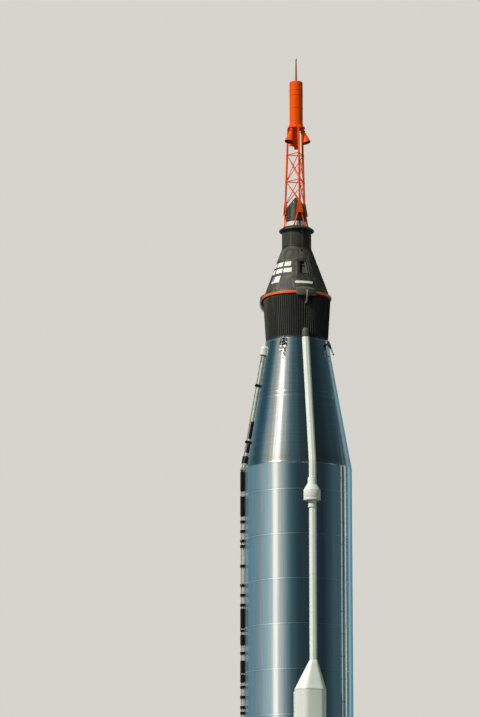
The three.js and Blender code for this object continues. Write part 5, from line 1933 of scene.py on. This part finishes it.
def build_conduits():
    for number, (azimuth, wide, lean) in enumerate(CONDUITS, 1):
        name = f"instrument_conduit_{number}"
        bottom, top = low(name), high(name)
        line = Shape()
        levels = [(bottom, -0.006), (bottom + 0.01, 0), (top - 0.03, 0), (top, -0.008)]
        line.solid(conduit_rows(azimuth, wide, lean, levels))
        piece(f"{name}_cover", line, CONDUIT, stands_for=[name])
    clips, screws = Shape(), Shape()
    z = 15.5
    while z > 3.8:
        for azimuth, wide, lean in CONDUITS:
            levels = [(z - 0.012, 0.0022), (z + 0.012, 0.0022)]
            clips.solid(conduit_rows(azimuth, wide, lean, levels))
            for side in (-1, 1):
                clips.block(0.024, 0.005, 0.024, near(azimuth + side * 1.35, TANK + 0.002, z), 0.001)
                screws.studs([near(azimuth + side * 1.4, TANK + 0.0045, z)], 0.005)
        z -= WELD_PITCH / 2
    piece("conduit_clips", clips, SKIRT_STEEL)
    piece("conduit_screws", screws, DARK_STEEL)


build_raceway()
build_gyro()
build_pods()
build_vent_line()
build_conduits()


# Base: the skirt in two halves, two nacelles, hold-down pads
NACELLE = {"offset": 1.680, "radius": 0.760, "shoulder": 2.2, "top": 3.44, "apex": 1.490, "apex_radius": 0.07}
SKIRT_WALL = 0.025
BASE_BANDS = (0.085, 0.78, 1.49, 2.2)
SKIRT_BANDS = (0.075, 1.2, 2.35, 3.44)


def nacelle_at(z):
    """Where the nacelle's axis stands at a height, and its radius there."""
    share = clip((z - NACELLE["shoulder"]) / (NACELLE["top"] - NACELLE["shoulder"]))
    centre = NACELLE["offset"] + (NACELLE["apex"] - NACELLE["offset"]) * share
    return centre, NACELLE["radius"] + (NACELLE["apex_radius"] - NACELLE["radius"]) * share


def nacelle_reach(z, grow=0.0):
    """The angle from +X, round the nacelle's own axis, at which its skin meets the tank's line."""
    centre, radius = nacelle_at(z)
    radius += grow
    return math.acos(max(-1, min(1, (TANK ** 2 - centre ** 2 - radius ** 2) / (2 * centre * radius))))


def opening_reach(z):
    """The angle from +X, round the rocket's axis, that the nacelle opens in the skirt."""
    if z >= NACELLE["top"]:
        return 0.0
    centre, radius = nacelle_at(z)
    return math.acos(max(-1, min(1, (TANK ** 2 + centre ** 2 - radius ** 2) / (2 * TANK * centre))))


def seam_rows(bottom, top, seams, step=0.16, half=0.006, dip=0.004):
    """Heights and depths up a skin: level panels, and a narrow groove at each seam."""
    rows = []
    stops = [bottom, *[s for s in seams if bottom < s < top], top]
    for start, stop in zip(stops, stops[1:]):
        low_z = start + (half if start != bottom else 0)
        high_z = stop - (half if stop != top else 0)
        rows += [(z, 0.0) for z in bow(low_z, high_z, max(2, int((high_z - low_z) / step) + 1))]
        if stop != top:
            rows += [(stop - half * 0.4, -dip), (stop + half * 0.4, -dip)]
    return rows


def strap_section(z, half):
    """A flat strap with bevelled edges: how far each corner stands out from the skin, and its height."""
    return [
        (-0.006, z - half), (0.003, z - half), (0.0045, z - half + 0.002),
        (0.0045, z + half - 0.002), (0.003, z + half), (-0.006, z + half),
    ]


def build_skirt():
    bottom, top = 0.02, high("skirt_front")
    half_gap = math.degrees(0.0015 / TANK)
    for name, turn in (("skirt_front", 0), ("skirt_rear", 180)):
        skin = Shape()
        rows = []
        for z, depth in seam_rows(bottom, top, SKIRT_BANDS[1:3], 0.08):
            reach = 90 - half_gap - math.degrees(opening_reach(z))
            outside, inside = [], []
            for azimuth in bow(-reach, reach, 97):
                from_seam = min(abs(azimuth - s) for s in (-45, 0, 45))
                groove = -0.003 if from_seam < 0.6 else 0.0
                outside.append(point_at(turn + azimuth, TANK + min(depth, groove), z))
                inside.append(point_at(turn + azimuth, TANK - SKIRT_WALL, z))
            rows.append([*outside, *reversed(inside)])
        skin.solid(rows)
        piece(f"{name}_skin", skin, SKIRT_STEEL, stands_for=[name])

    bands, rivets, hats = Shape(), Shape(), Shape()
    for z, half in zip(SKIRT_BANDS, (0.05, 0.045, 0.045, 0.045)):
        reach = 90 - math.degrees(opening_reach(z)) - 0.8
        for turn in (0, 180):
            section = strap_section(z, half)
            bands.solid([
                [point_at(turn + azimuth, TANK + out, h) for out, h in section]
                for azimuth in bow(-reach, reach, 97)
            ])
            for azimuth in bow(-reach + 1, reach - 1, int(reach)):
                for h in (-half * 0.55, half * 0.55):
                    rivets.studs([near(turn + azimuth, TANK + 0.004, z + h)], 0.007)
    # Stringers stand out between the bands.
    section = round_corners([(-0.03, 0.006), (-0.014, -0.016), (0.014, -0.016), (0.03, 0.006)], 0.008, 2)
    flat = [(x * 0.9, max(y, -0.002)) for x, y in section]
    for turn in (0, 180):
        for azimuth in bow(-56, 56, 15):
            if min(abs(azimuth - s) for s in (-45, 45)) < 5:
                continue
            for low_z, high_z in ((0.16, 1.13), (1.27, 2.28), (2.42, 3.37)):
                if abs(azimuth) > 90 - math.degrees(opening_reach((low_z + high_z) / 2)) - 3:
                    continue
                levels = [(flat, low_z), (section, low_z + 0.05), (section, high_z - 0.05), (flat, high_z)]
                hats.loft(levels, near(turn + azimuth, TANK))
    piece("skirt_bands", bands, SKIRT_STEEL)
    piece("skirt_rivets", rivets, SKIRT_STEEL)
    piece("skirt_stringers", hats, SKIRT_STEEL)


# Access doors: [azimuth, middle height, width, height]
ACCESS_DOORS = [
    (28, 2.85, 0.34, 0.42),
    (-32, 1.75, 0.36, 0.5),
    (152, 2.85, 0.34, 0.42),
    (205, 1.75, 0.36, 0.5),
]


def build_access_doors():
    """Raised doors in the skirt, each with a frame of screws and a handle."""
    doors, screws = Shape(), Shape()
    for azimuth, z, wide, tall in ACCESS_DOORS:
        half_turn, half_tall = math.degrees(wide / 2 / TANK), tall / 2
        rows = []
        for inset, out in ((0, 0.0), (0, 0.018), (0.06, 0.021), (0.999, 0.0215)):
            a, h = half_turn * (1 - inset), half_tall * (1 - inset)
            edge = [(-a + 2 * a * i / 12, -h) for i in range(12)] + [
                (a, -h + 2 * h * i / 6) for i in range(6)
            ]
            edge += [(a - 2 * a * i / 12, h) for i in range(12)] + [(-a, h - 2 * h * i / 6) for i in range(6)]
            rows.append([point_at(azimuth + turn, TANK + out, z + up) for turn, up in edge])
        doors.rows(rows, True, (False, True))
        for x in bow(-0.44, 0.44, 7):
            for side in (-1, 1):
                turn, up = math.degrees(x * wide / TANK), side * (half_tall - 0.025)
                screws.studs([near(azimuth + turn, TANK + 0.0205, z + up)], 0.007)
        for share in bow(-0.36, 0.36, 6):
            for side in (-1, 1):
                turn = side * math.degrees((wide / 2 - 0.025) / TANK)
                screws.studs([near(azimuth + turn, TANK + 0.0205, z + share * tall)], 0.007)
        grip = near(azimuth, TANK + 0.021, z)
        bend = [(-0.05, 0.01), (-0.05, -0.02), (-0.04, -0.03), (0.04, -0.03), (0.05, -0.02), (0.05, 0.01)]
        doors.tube([grip @ Vector((x, y, 0)) for x, y in bend], 0.006, 10)
    piece("skirt_doors", doors, SKIRT_STEEL)
    piece("skirt_door_screws", screws, DARK_STEEL)


def build_hold_downs():
    pads, bolts = Shape(), Shape()
    cheek = [(-0.064, 0.0), (0.064, 0.0), (0.064, 0.09), (0.02, 0.285), (-0.05, 0.285), (-0.064, 0.26)]
    for azimuth in (45, 135, 225, 315):
        pads.block(0.26, 0.15, 0.02, near(azimuth, TANK + 0.051, 0.01), 0.004)
        for side in (-1, 1):
            spin = near(azimuth, TANK + 0.040, 0.02, x=side * 0.095) @ about("Z", 90)
            pads.slab([(-x, z) for x, z in cheek], 0.03, spin, 0.004)
        pads.block(0.17, 0.045, 0.29, near(azimuth, TANK + 0.002, 0.16), 0.004)
        pads.block(0.20, 0.03, 0.13, near(azimuth, TANK + 0.075, 0.088), 0.006)
        boss = near(azimuth, TANK + 0.062, 0.12) @ about("X", 90)
        pads.turned([(0, 0), (0.028, 0), (0.028, 0.05), (0.022, 0.056), (0, 0.056)], 24, boss)
        for x in (-0.075, 0.075):
            bolts.hexes([near(azimuth, TANK + 0.09, z, x=x) for z in (0.06, 0.12)], 0.026, 0.012)
        for x in (-0.055, 0.055):
            bolts.hexes([near(azimuth, TANK + 0.0245, z, x=x) for z in (0.2, 0.27)], 0.022, 0.01)
    piece("hold_down_pads", pads, DARK_STEEL)
    piece("hold_down_bolts", bolts, DARK_STEEL)


def build_nacelles():
    sides = 97
    for name, turn in (("nacelle_right", 0), ("nacelle_left", 180)):
        spin = about("Z", turn)

        def on_skin(t, z, out=0.0):
            """A point that stands out from the nacelle's skin, at an angle round its own axis."""
            centre, radius = nacelle_at(z)
            return spin @ Vector((centre + (radius + out) * math.cos(t), (radius + out) * math.sin(t), z))

        def rivet(t, z, out, tilt=0):
            centre, radius = nacelle_at(z)
            return spin @ shifted(centre, 0, 0) @ near(90 + math.degrees(t), radius + out, z, tilt)

        skin, bands, rivets = Shape(), Shape(), Shape()
        rows = []
        levels = seam_rows(0.02, NACELLE["shoulder"], BASE_BANDS[1:3], 0.2)
        levels += [(z, 0.0) for z in bow(NACELLE["shoulder"] + 0.03, NACELLE["top"] - 0.02, 14)]
        for z, depth in levels:
            radius = nacelle_at(z)[1]
            reach = nacelle_reach(z) - 0.0008
            inwards = max(0.01, radius - SKIRT_WALL) - radius
            reach_in = nacelle_reach(z, inwards) - 0.001
            outside = [on_skin(t, z, depth) for t in bow(-reach, reach, sides)]
            inside = [on_skin(t, z, inwards) for t in bow(-reach_in, reach_in, sides)]
            rows.append([*outside, *reversed(inside)])
        skin.solid(rows)
        piece(f"{name}_skin", skin, SKIRT_STEEL, stands_for=[name], sharp=28)

        for z, half in ((0.075, 0.05), (BASE_BANDS[1], 0.04), (BASE_BANDS[2], 0.04), (2.165, 0.035)):
            reach = nacelle_reach(z, 0.004) - 0.006
            section = strap_section(z, half)
            bands.solid([[on_skin(t, h, out) for out, h in section] for t in bow(-reach, reach, sides)])
            for t in bow(-reach + 0.02, reach - 0.02, 84):
                rivets.studs([rivet(t, z + h, 0.004) for h in (-half * 0.5, half * 0.5)], 0.007)
        # Three seam straps run up the sides and over the sloping top.
        for t in (-math.radians(52), 0.0, math.radians(52)):
            strap = []
            for z in [*bow(0.13, 2.12, 10), *bow(2.21, 3.30, 10)]:
                half = 0.028 / nacelle_at(z)[1]
                corners = mirrored([(-half, -0.006), (-half, 0.002), (-half * 0.9, 0.0035)])
                strap.append([on_skin(t + a, z, out) for a, out in corners])
            bands.solid(strap)
            for z in bow(0.17, 3.2, 62):
                aside = 0.018 / nacelle_at(z)[1]
                tilt = 0 if z < NACELLE["shoulder"] else 28
                rivets.studs([rivet(t + a, z, 0.0028, tilt) for a in (-aside, aside)])
        piece(f"{name}_bands", bands, SKIRT_STEEL)
        piece(f"{name}_rivets", rivets, SKIRT_STEEL)


def build_base_plate():
    """Ring frames and bolts under the base's heat shield, round its three holes."""
    z = low("base_heat_shield")
    frames, bolts = Shape(), Shape()
    down = about("X", 90)
    for x, radius in ((NACELLE["offset"], 0.64), (-NACELLE["offset"], 0.64), (0, 0.57)):
        place = shifted(x, 0, 0)
        section = [
            (radius + 0.002, z + 0.034), (radius - 0.001, z + 0.02), (radius - 0.001, z - 0.006),
            (radius + 0.005, z - 0.012)
        ]
        section += [(radius + 0.055, z - 0.012), (radius + 0.06, z - 0.007), (radius + 0.06, z + 0.002)]
        frames.turned(section, 96, place, closed=True)
        clear = [
            i for i in range(40) if abs(x + (radius + 0.03) * math.sin(math.radians(9 * i))) < TANK + 0.7
        ]
        bolts.hexes([place @ near(9 * i, radius + 0.03, z - 0.012) @ down for i in clear], 0.018, 0.008)
    for side in (-1, 1):
        for y in bow(-1.1, 1.1, 12):
            if abs(y) > 0.62:
                frames.block(0.5, 0.03, 0.012, shifted(side * 0.55, y, z - 0.004), 0.002)
    piece("base_shield_frames", frames, DARK_STEEL)
    piece("base_shield_bolts", bolts, DARK_STEEL)


build_skirt()
build_access_doors()
build_hold_downs()
build_nacelles()
build_base_plate()


# Engines: chambers with bells of brazed tubes, gimbals, and the two steering engines
PIN = {"radius": 0.025, "ear": 0.030, "centre": 0.090, "half": 0.050, "reach": 0.104, "block": 0.055}


def gimbal_ears(shape, place, reach):
    """Two ears with round ends about a pin along Y, their roots at a distance above it."""
    half = PIN["half"]
    outline = [*swing(half, 180, 360, 17), (half, reach * 0.55), (half + 0.02, reach)]
    outline += [(-half - 0.02, reach), (-half, reach * 0.55)]
    ring = [(0.029, -0.002), (0.042, -0.002), (0.042, 0.003), (0.040, 0.005), (0.029, 0.005)]
    for side, turn in ((-1, 0), (1, 180)):
        ear = place @ shifted(0, side * PIN["centre"], 0)
        shape.slab(outline, PIN["ear"], ear, 0.003)
        face = ear @ about("Z", turn) @ shifted(0, -PIN["ear"] / 2, 0)
        shape.turned(ring, 28, face @ about("X", 90), closed=True)
    seat = place @ shifted(0, 0, reach - 0.02)
    shape.block(2 * half + 0.06, 2 * PIN["centre"] + 0.08, 0.04, seat, 0.006)


def build_gimbal(name, at, body):
    cross, radius, reach = Shape(), PIN["radius"], PIN["reach"]
    side = 2 * PIN["block"]
    cross.block(side, side, side, Matrix.Translation(at), 0.012)
    profile = [
        (0, -reach), (radius - 0.004, -reach), (radius, -reach + 0.004), (radius, reach - 0.004),
        (radius - 0.004, reach), (0, reach)
    ]
    cross.turned(profile, 32, Matrix.Translation(at) @ about("X", 90))
    cross.turned(profile, 32, Matrix.Translation(at) @ about("Y", 90))
    piece(f"{name}_cross", cross, DARK_STEEL, body, [name])


BOOSTER_CHAMBER = [
    (0.150, 0.110), (0.290, 0.190), (0.290, 0.250), (0.245, 0.270), (0.245, 0.600), (0.190, 0.800),
    (0.250, 0.930), (0.350, 1.150), (0.445, 1.500), (0.535, 1.950), (0.600, 2.440)
]
SUSTAINER_CHAMBER = [
    (0.140, 0.110), (0.255, 0.190), (0.255, 0.250), (0.200, 0.270), (0.200, 0.520), (0.130, 0.700),
    (0.215, 0.850), (0.330, 1.080), (0.450, 1.450), (0.540, 1.900), (0.590, 2.410)
]


def build_engine(name, at, chamber, depth, body, hoops):
    place = Matrix.Translation(at)
    exit_radius = chamber[-1][0]
    wall, lip = 0.02, exit_radius + 0.02
    curve = [(p.x, p.y) for p in smooth_path([(r, d, 0) for r, d in chamber[4:]], 5)]
    tubes = 128
    tubes_begin = chamber[4][1]

    def flutes(azimuth, z):
        """The grooves between the tubes that the bell is brazed from."""
        fluted = tubes_begin < -z < depth - 0.04
        return -0.004 * abs(math.cos(math.radians(azimuth * tubes / 2))) if fluted else 0

    def reach_at(d):
        """The bell's radius at a depth."""
        for (r, start), (next_r, stop) in zip(curve, curve[1:]):
            if start <= d <= stop:
                return r + (next_r - r) * (d - start) / (stop - start)

    bell = Shape()
    outside = [(r, -d) for r, d in curve]
    inside = [(r - wall, -d) for r, d in reversed(curve[::3]) if d > 0.6]
    rim = [(exit_radius + 0.001, -depth + 0.035), (lip, -depth + 0.032), (lip + 0.001, -depth + 0.018)]
    rim += [(lip, -depth + 0.002), (lip - 0.003, -depth), (exit_radius - wall, -depth)]
    profile = [(0, -tubes_begin), *outside, *rim, *inside[1:], (0.0, -0.62)]
    bell.turned(profile, tubes * 4, place, ripple=flutes)
    piece(f"{name}_bell", bell, NOZZLE_METAL, body, [name])

    dome = Shape()
    edge = chamber[1][0]
    crown, shoulder = ((r, -d) for r, d in (chamber[0], chamber[3]))
    head = [(0, -0.11), crown]
    head += [(edge - 0.04, -0.165), (edge - 0.006, -0.187), (edge, -0.195), (edge, -0.214)]
    head += [(edge - 0.004, -0.218), (edge - 0.004, -0.222), (edge, -0.226), (edge, -0.246)]
    head += [(edge - 0.004, -0.25), shoulder, (0, -0.27)]
    dome.turned(head, 96, place)
    gimbal_ears(dome, place @ about("X", 180) @ about("Z", 90), 0.14)
    # Gussets from the gimbal's seat to the injector's rim
    gusset = [(-0.05, -0.14), (0.05, -0.14), (0.105, -0.19), (-0.05, -0.19)]
    for azimuth in range(22, 382, 45):
        dome.slab(gusset, 0.012, place @ near(azimuth + 90, x=0.16), 0.002)
    piece(f"{name}_dome", dome, DARK_STEEL, body)

    bolts = Shape()
    down = about("X", -90)
    bolts.hexes([place @ spot @ down for spot in round_about(36, edge - 0.018, -0.188)], 0.018, 0.012)
    piece(f"{name}_bolts", bolts, DARK_STEEL, body)

    bands = Shape()
    half_hoop = [(-0.012, -0.02), (0.003, -0.018), (0.010, -0.008)]
    for d in hoops:
        section = [*half_hoop, *((out, -h) for out, h in reversed(half_hoop))]
        bands.turned([(reach_at(d) + out, -d + h) for out, h in section], 96, place, closed=True)
    piece(f"{name}_hoops", bands, DARK_STEEL, body, slot="nozzle_metal")

    plumbing = Shape()
    ring_depth = hoops[0] - 0.08
    ring_radius, bore = reach_at(ring_depth) + 0.012, 0.032
    ring = [(ring_radius + bore * math.cos(t), -ring_depth + bore * math.sin(t)) for t in turns(14)]
    rows = [[place @ point_at(360 * i / 48, r, z) for r, z in ring] for i in range(48)]
    plumbing.rows(rows, True, along=True)
    # Feed pipes bend from the injector's side down into the ring.
    path = [(edge - 0.04, -0.235), (edge + 0.005, -0.235), (edge + 0.035, -0.25), (edge + 0.05, -0.30)]
    path += [(edge + 0.05, -0.5), (ring_radius + 0.02, -ring_depth + 0.12)]
    path += [(ring_radius + 0.004, -ring_depth)]
    for azimuth in (0, 180):
        bend = smooth_path([place @ point_at(azimuth, r, z) for r, z in path], 5)
        plumbing.tube(bend, 0.034, 18)
        for z in (-0.34, -0.47):
            spot = place @ point_at(azimuth, edge + 0.05, z)
            plumbing.tube([spot + Vector((0, 0, -0.008)), spot + Vector((0, 0, 0.008))], 0.046, 18)
    piece(f"{name}_plumbing", plumbing, PIPE_STEEL, body, slot="dark_steel")


def build_main_engines():
    hoops_booster = (1.06, 1.3, 1.58, 1.88, 2.16)
    hoops_sustainer = (0.98, 1.25, 1.56, 1.86, 2.14)
    for side, x in (("right", 1.68), ("left", -1.68)):
        at = Vector((x, 0, 1.489))
        build_gimbal(f"booster_gimbal_{side}", at, f"booster_gimbal_{side}")
        build_engine(
            f"booster_engine_{side}", at, BOOSTER_CHAMBER, 2.489, f"booster_engine_{side}", hoops_booster
        )
    at = Vector((0, 0, 1.46))
    build_gimbal("sustainer_gimbal", at, "sustainer_gimbal")
    build_engine("sustainer_engine", at, SUSTAINER_CHAMBER, 2.46, "sustainer_engine", hoops_sustainer)


def build_thrust_structure():
    """The thrust frame's ribbed plate with its ears, and the ribbed cone over the middle engine."""
    ears, ribs = Shape(), Shape()
    for x in (-1.68, 1.68):
        gimbal_ears(ears, shifted(x, 0, 1.489), 0.181)
    gimbal_ears(ears, shifted(0, 0, 1.46), 0.17)
    piece("gimbal_mount_ears", ears, DARK_STEEL)
    for place in round_about(24, 1.07, 1.62, 0.5):
        ribs.block(0.02, 0.74, 0.05, place, 0.003)
    for radius in (0.66, 1.45):
        ring = [(radius, 1.60), (radius + 0.02, 1.60), (radius + 0.02, 1.65), (radius, 1.65)]
        ribs.turned(ring, 96, closed=True)
    rail = [(0.178, 1.625), (0.2, 1.605), (0.56, 3.47), (0.54, 3.48)]
    for place in round_about(16, 0, 0):
        ribs.solid([[place @ Vector((s, -r, z)) for r, z in rail] for s in (-0.008, 0.008)])
    piece("thrust_ribs", ribs, DARK_STEEL)


def build_verniers():
    pivot, height, cant = TANK + 0.236, 3.8, 30

    def section(half, proud, grow=0.0):
        """The housing's outline, in with the tank's skin."""
        half, proud = half + grow, proud + grow
        corners = [(-half, -TANK + 0.03), (-half, -TANK - proud * 0.45), (-half * 0.55, -TANK - proud)]
        return round_corners(mirrored(corners), 0.05, 4)

    for side, azimuth in (("right", 90), ("left", -90)):
        spin = near(azimuth)
        housing, trim, screws = Shape(), Shape(), Shape()
        levels = [
            (section(0.19, 0.36, -0.012), 3.93), (section(0.19, 0.36), 3.942), (section(0.19, 0.36), 4.345)
        ]
        levels += [
            (section(0.188, 0.357), 4.352), (section(0.188, 0.356), 4.362), (section(0.185, 0.352), 4.37)
        ]
        for t in (0.2, 0.4, 0.6, 0.8, 0.97):
            levels.append((section(0.19 - 0.1 * t, 0.36 - 0.17 * t), 4.35 + 0.55 * t))
        levels += [(section(0.09, 0.19, -0.012), 4.9)]
        housing.loft(levels, spin)
        housing.block(0.13, 0.10, 0.24, spin @ shifted(0, -TANK - 0.04, 3.82), 0.006)
        name = f"vernier_housing_{side}"
        piece(f"{name}_cover", housing, WHITE, stands_for=[name])
        # A louvred door in its front, with screws round it
        face = spin @ shifted(0, -TANK - 0.36, 4.14)
        trim.block(0.15, 0.012, 0.3, face, 0.004)
        for k in range(5):
            louvre = face @ shifted(0, -0.008, -0.08 + 0.04 * k) @ about("X", 25)
            trim.block(0.11, 0.014, 0.012, louvre, 0.002)
        for x in (-0.062, 0.062):
            screws.studs([face @ shifted(x, -0.006, z) for z in bow(-0.13, 0.13, 6)])
        for z in (3.97, 4.31):
            screws.studs([spin @ shifted(x, -TANK - 0.36 + 0.0005, z) for x in bow(-0.085, 0.085, 5)])
        piece(f"vernier_{side}_trim", trim, WHITE)
        piece(f"vernier_{side}_screws", screws, DARK_STEEL)

        mount = near(azimuth, pivot, height)
        yoke = Shape()
        shaft = mount @ shifted(0, 0.13, 0) @ about("X", -90)
        profile = [(0, 0), (0.03, 0), (0.03, 0.018), (0.02, 0.022), (0.02, 0.098), (0.017, 0.1), (0, 0.1)]
        yoke.turned(profile, 32, shaft)
        yoke.block(0.19, 0.04, 0.1, mount @ shifted(0, 0.125, 0), 0.008)
        arm = [(x - 0.01, z) for x, z in swing(0.03, 90, 270, 13)]
        arm += [(0.1, -0.03), (0.128, -0.04), (0.128, 0.04), (0.1, 0.03)]
        for s in (-1, 1):
            yoke.slab(arm, 0.024, mount @ shifted(s * 0.082, 0, 0) @ about("Z", 90), 0.003)
        name = f"vernier_yoke_{side}"
        piece(f"{name}_fork", yoke, DARK_STEEL, name, [name])

        tilt = mount @ about("X", -cant)
        engine = Shape()
        bell = smooth_path([(0.058, -0.12, 0), (0.036, -0.18, 0), (0.058, -0.26, 0), (0.086, -0.374, 0)], 6)
        outside = [(p.x, p.y) for p in bell]
        profile = [(0, 0.06), (0.044, 0.06), (0.05, 0.054), (0.058, 0.04), (0.0575, 0.02), (0.061, 0.018)]
        profile += [(0.061, 0.004), (0.0575, 0.0), (0.058, -0.11), *outside]
        profile += [(0.088, -0.376), (0.088, -0.38), (0.08, -0.38)]
        profile += [(r - 0.007, z + 0.002) for r, z in reversed(outside[8:])] + [(0.026, -0.2), (0, -0.2)]
        engine.turned(profile, 72, tilt)
        pin = [(0, -0.092), (0.013, -0.092), (0.015, -0.09), (0.015, 0.09), (0.013, 0.092), (0, 0.092)]
        engine.turned(pin, 24, tilt @ about("Y", 90))
        for r, d in ((0.0515, -0.24), (0.0735, -0.31)):
            hoop = [
                (r - 0.006, d - 0.006), (r + 0.004, d - 0.004), (r + 0.004, d + 0.004),
                (r - 0.006, d + 0.006)
            ]
            engine.turned(hoop, 48, tilt, closed=True)
        feed = [(-0.05, 0.03), (-0.066, 0.0), (-0.07, -0.06), (-0.064, -0.115), (-0.045, -0.135)]
        engine.tube([tilt @ Vector((0, y, z)) for y, z in feed], 0.009, 12)
        name = f"vernier_engine_{side}"
        piece(f"{name}_chamber", engine, NOZZLE_METAL, name, [name])


build_main_engines()
build_thrust_structure()
build_verniers()
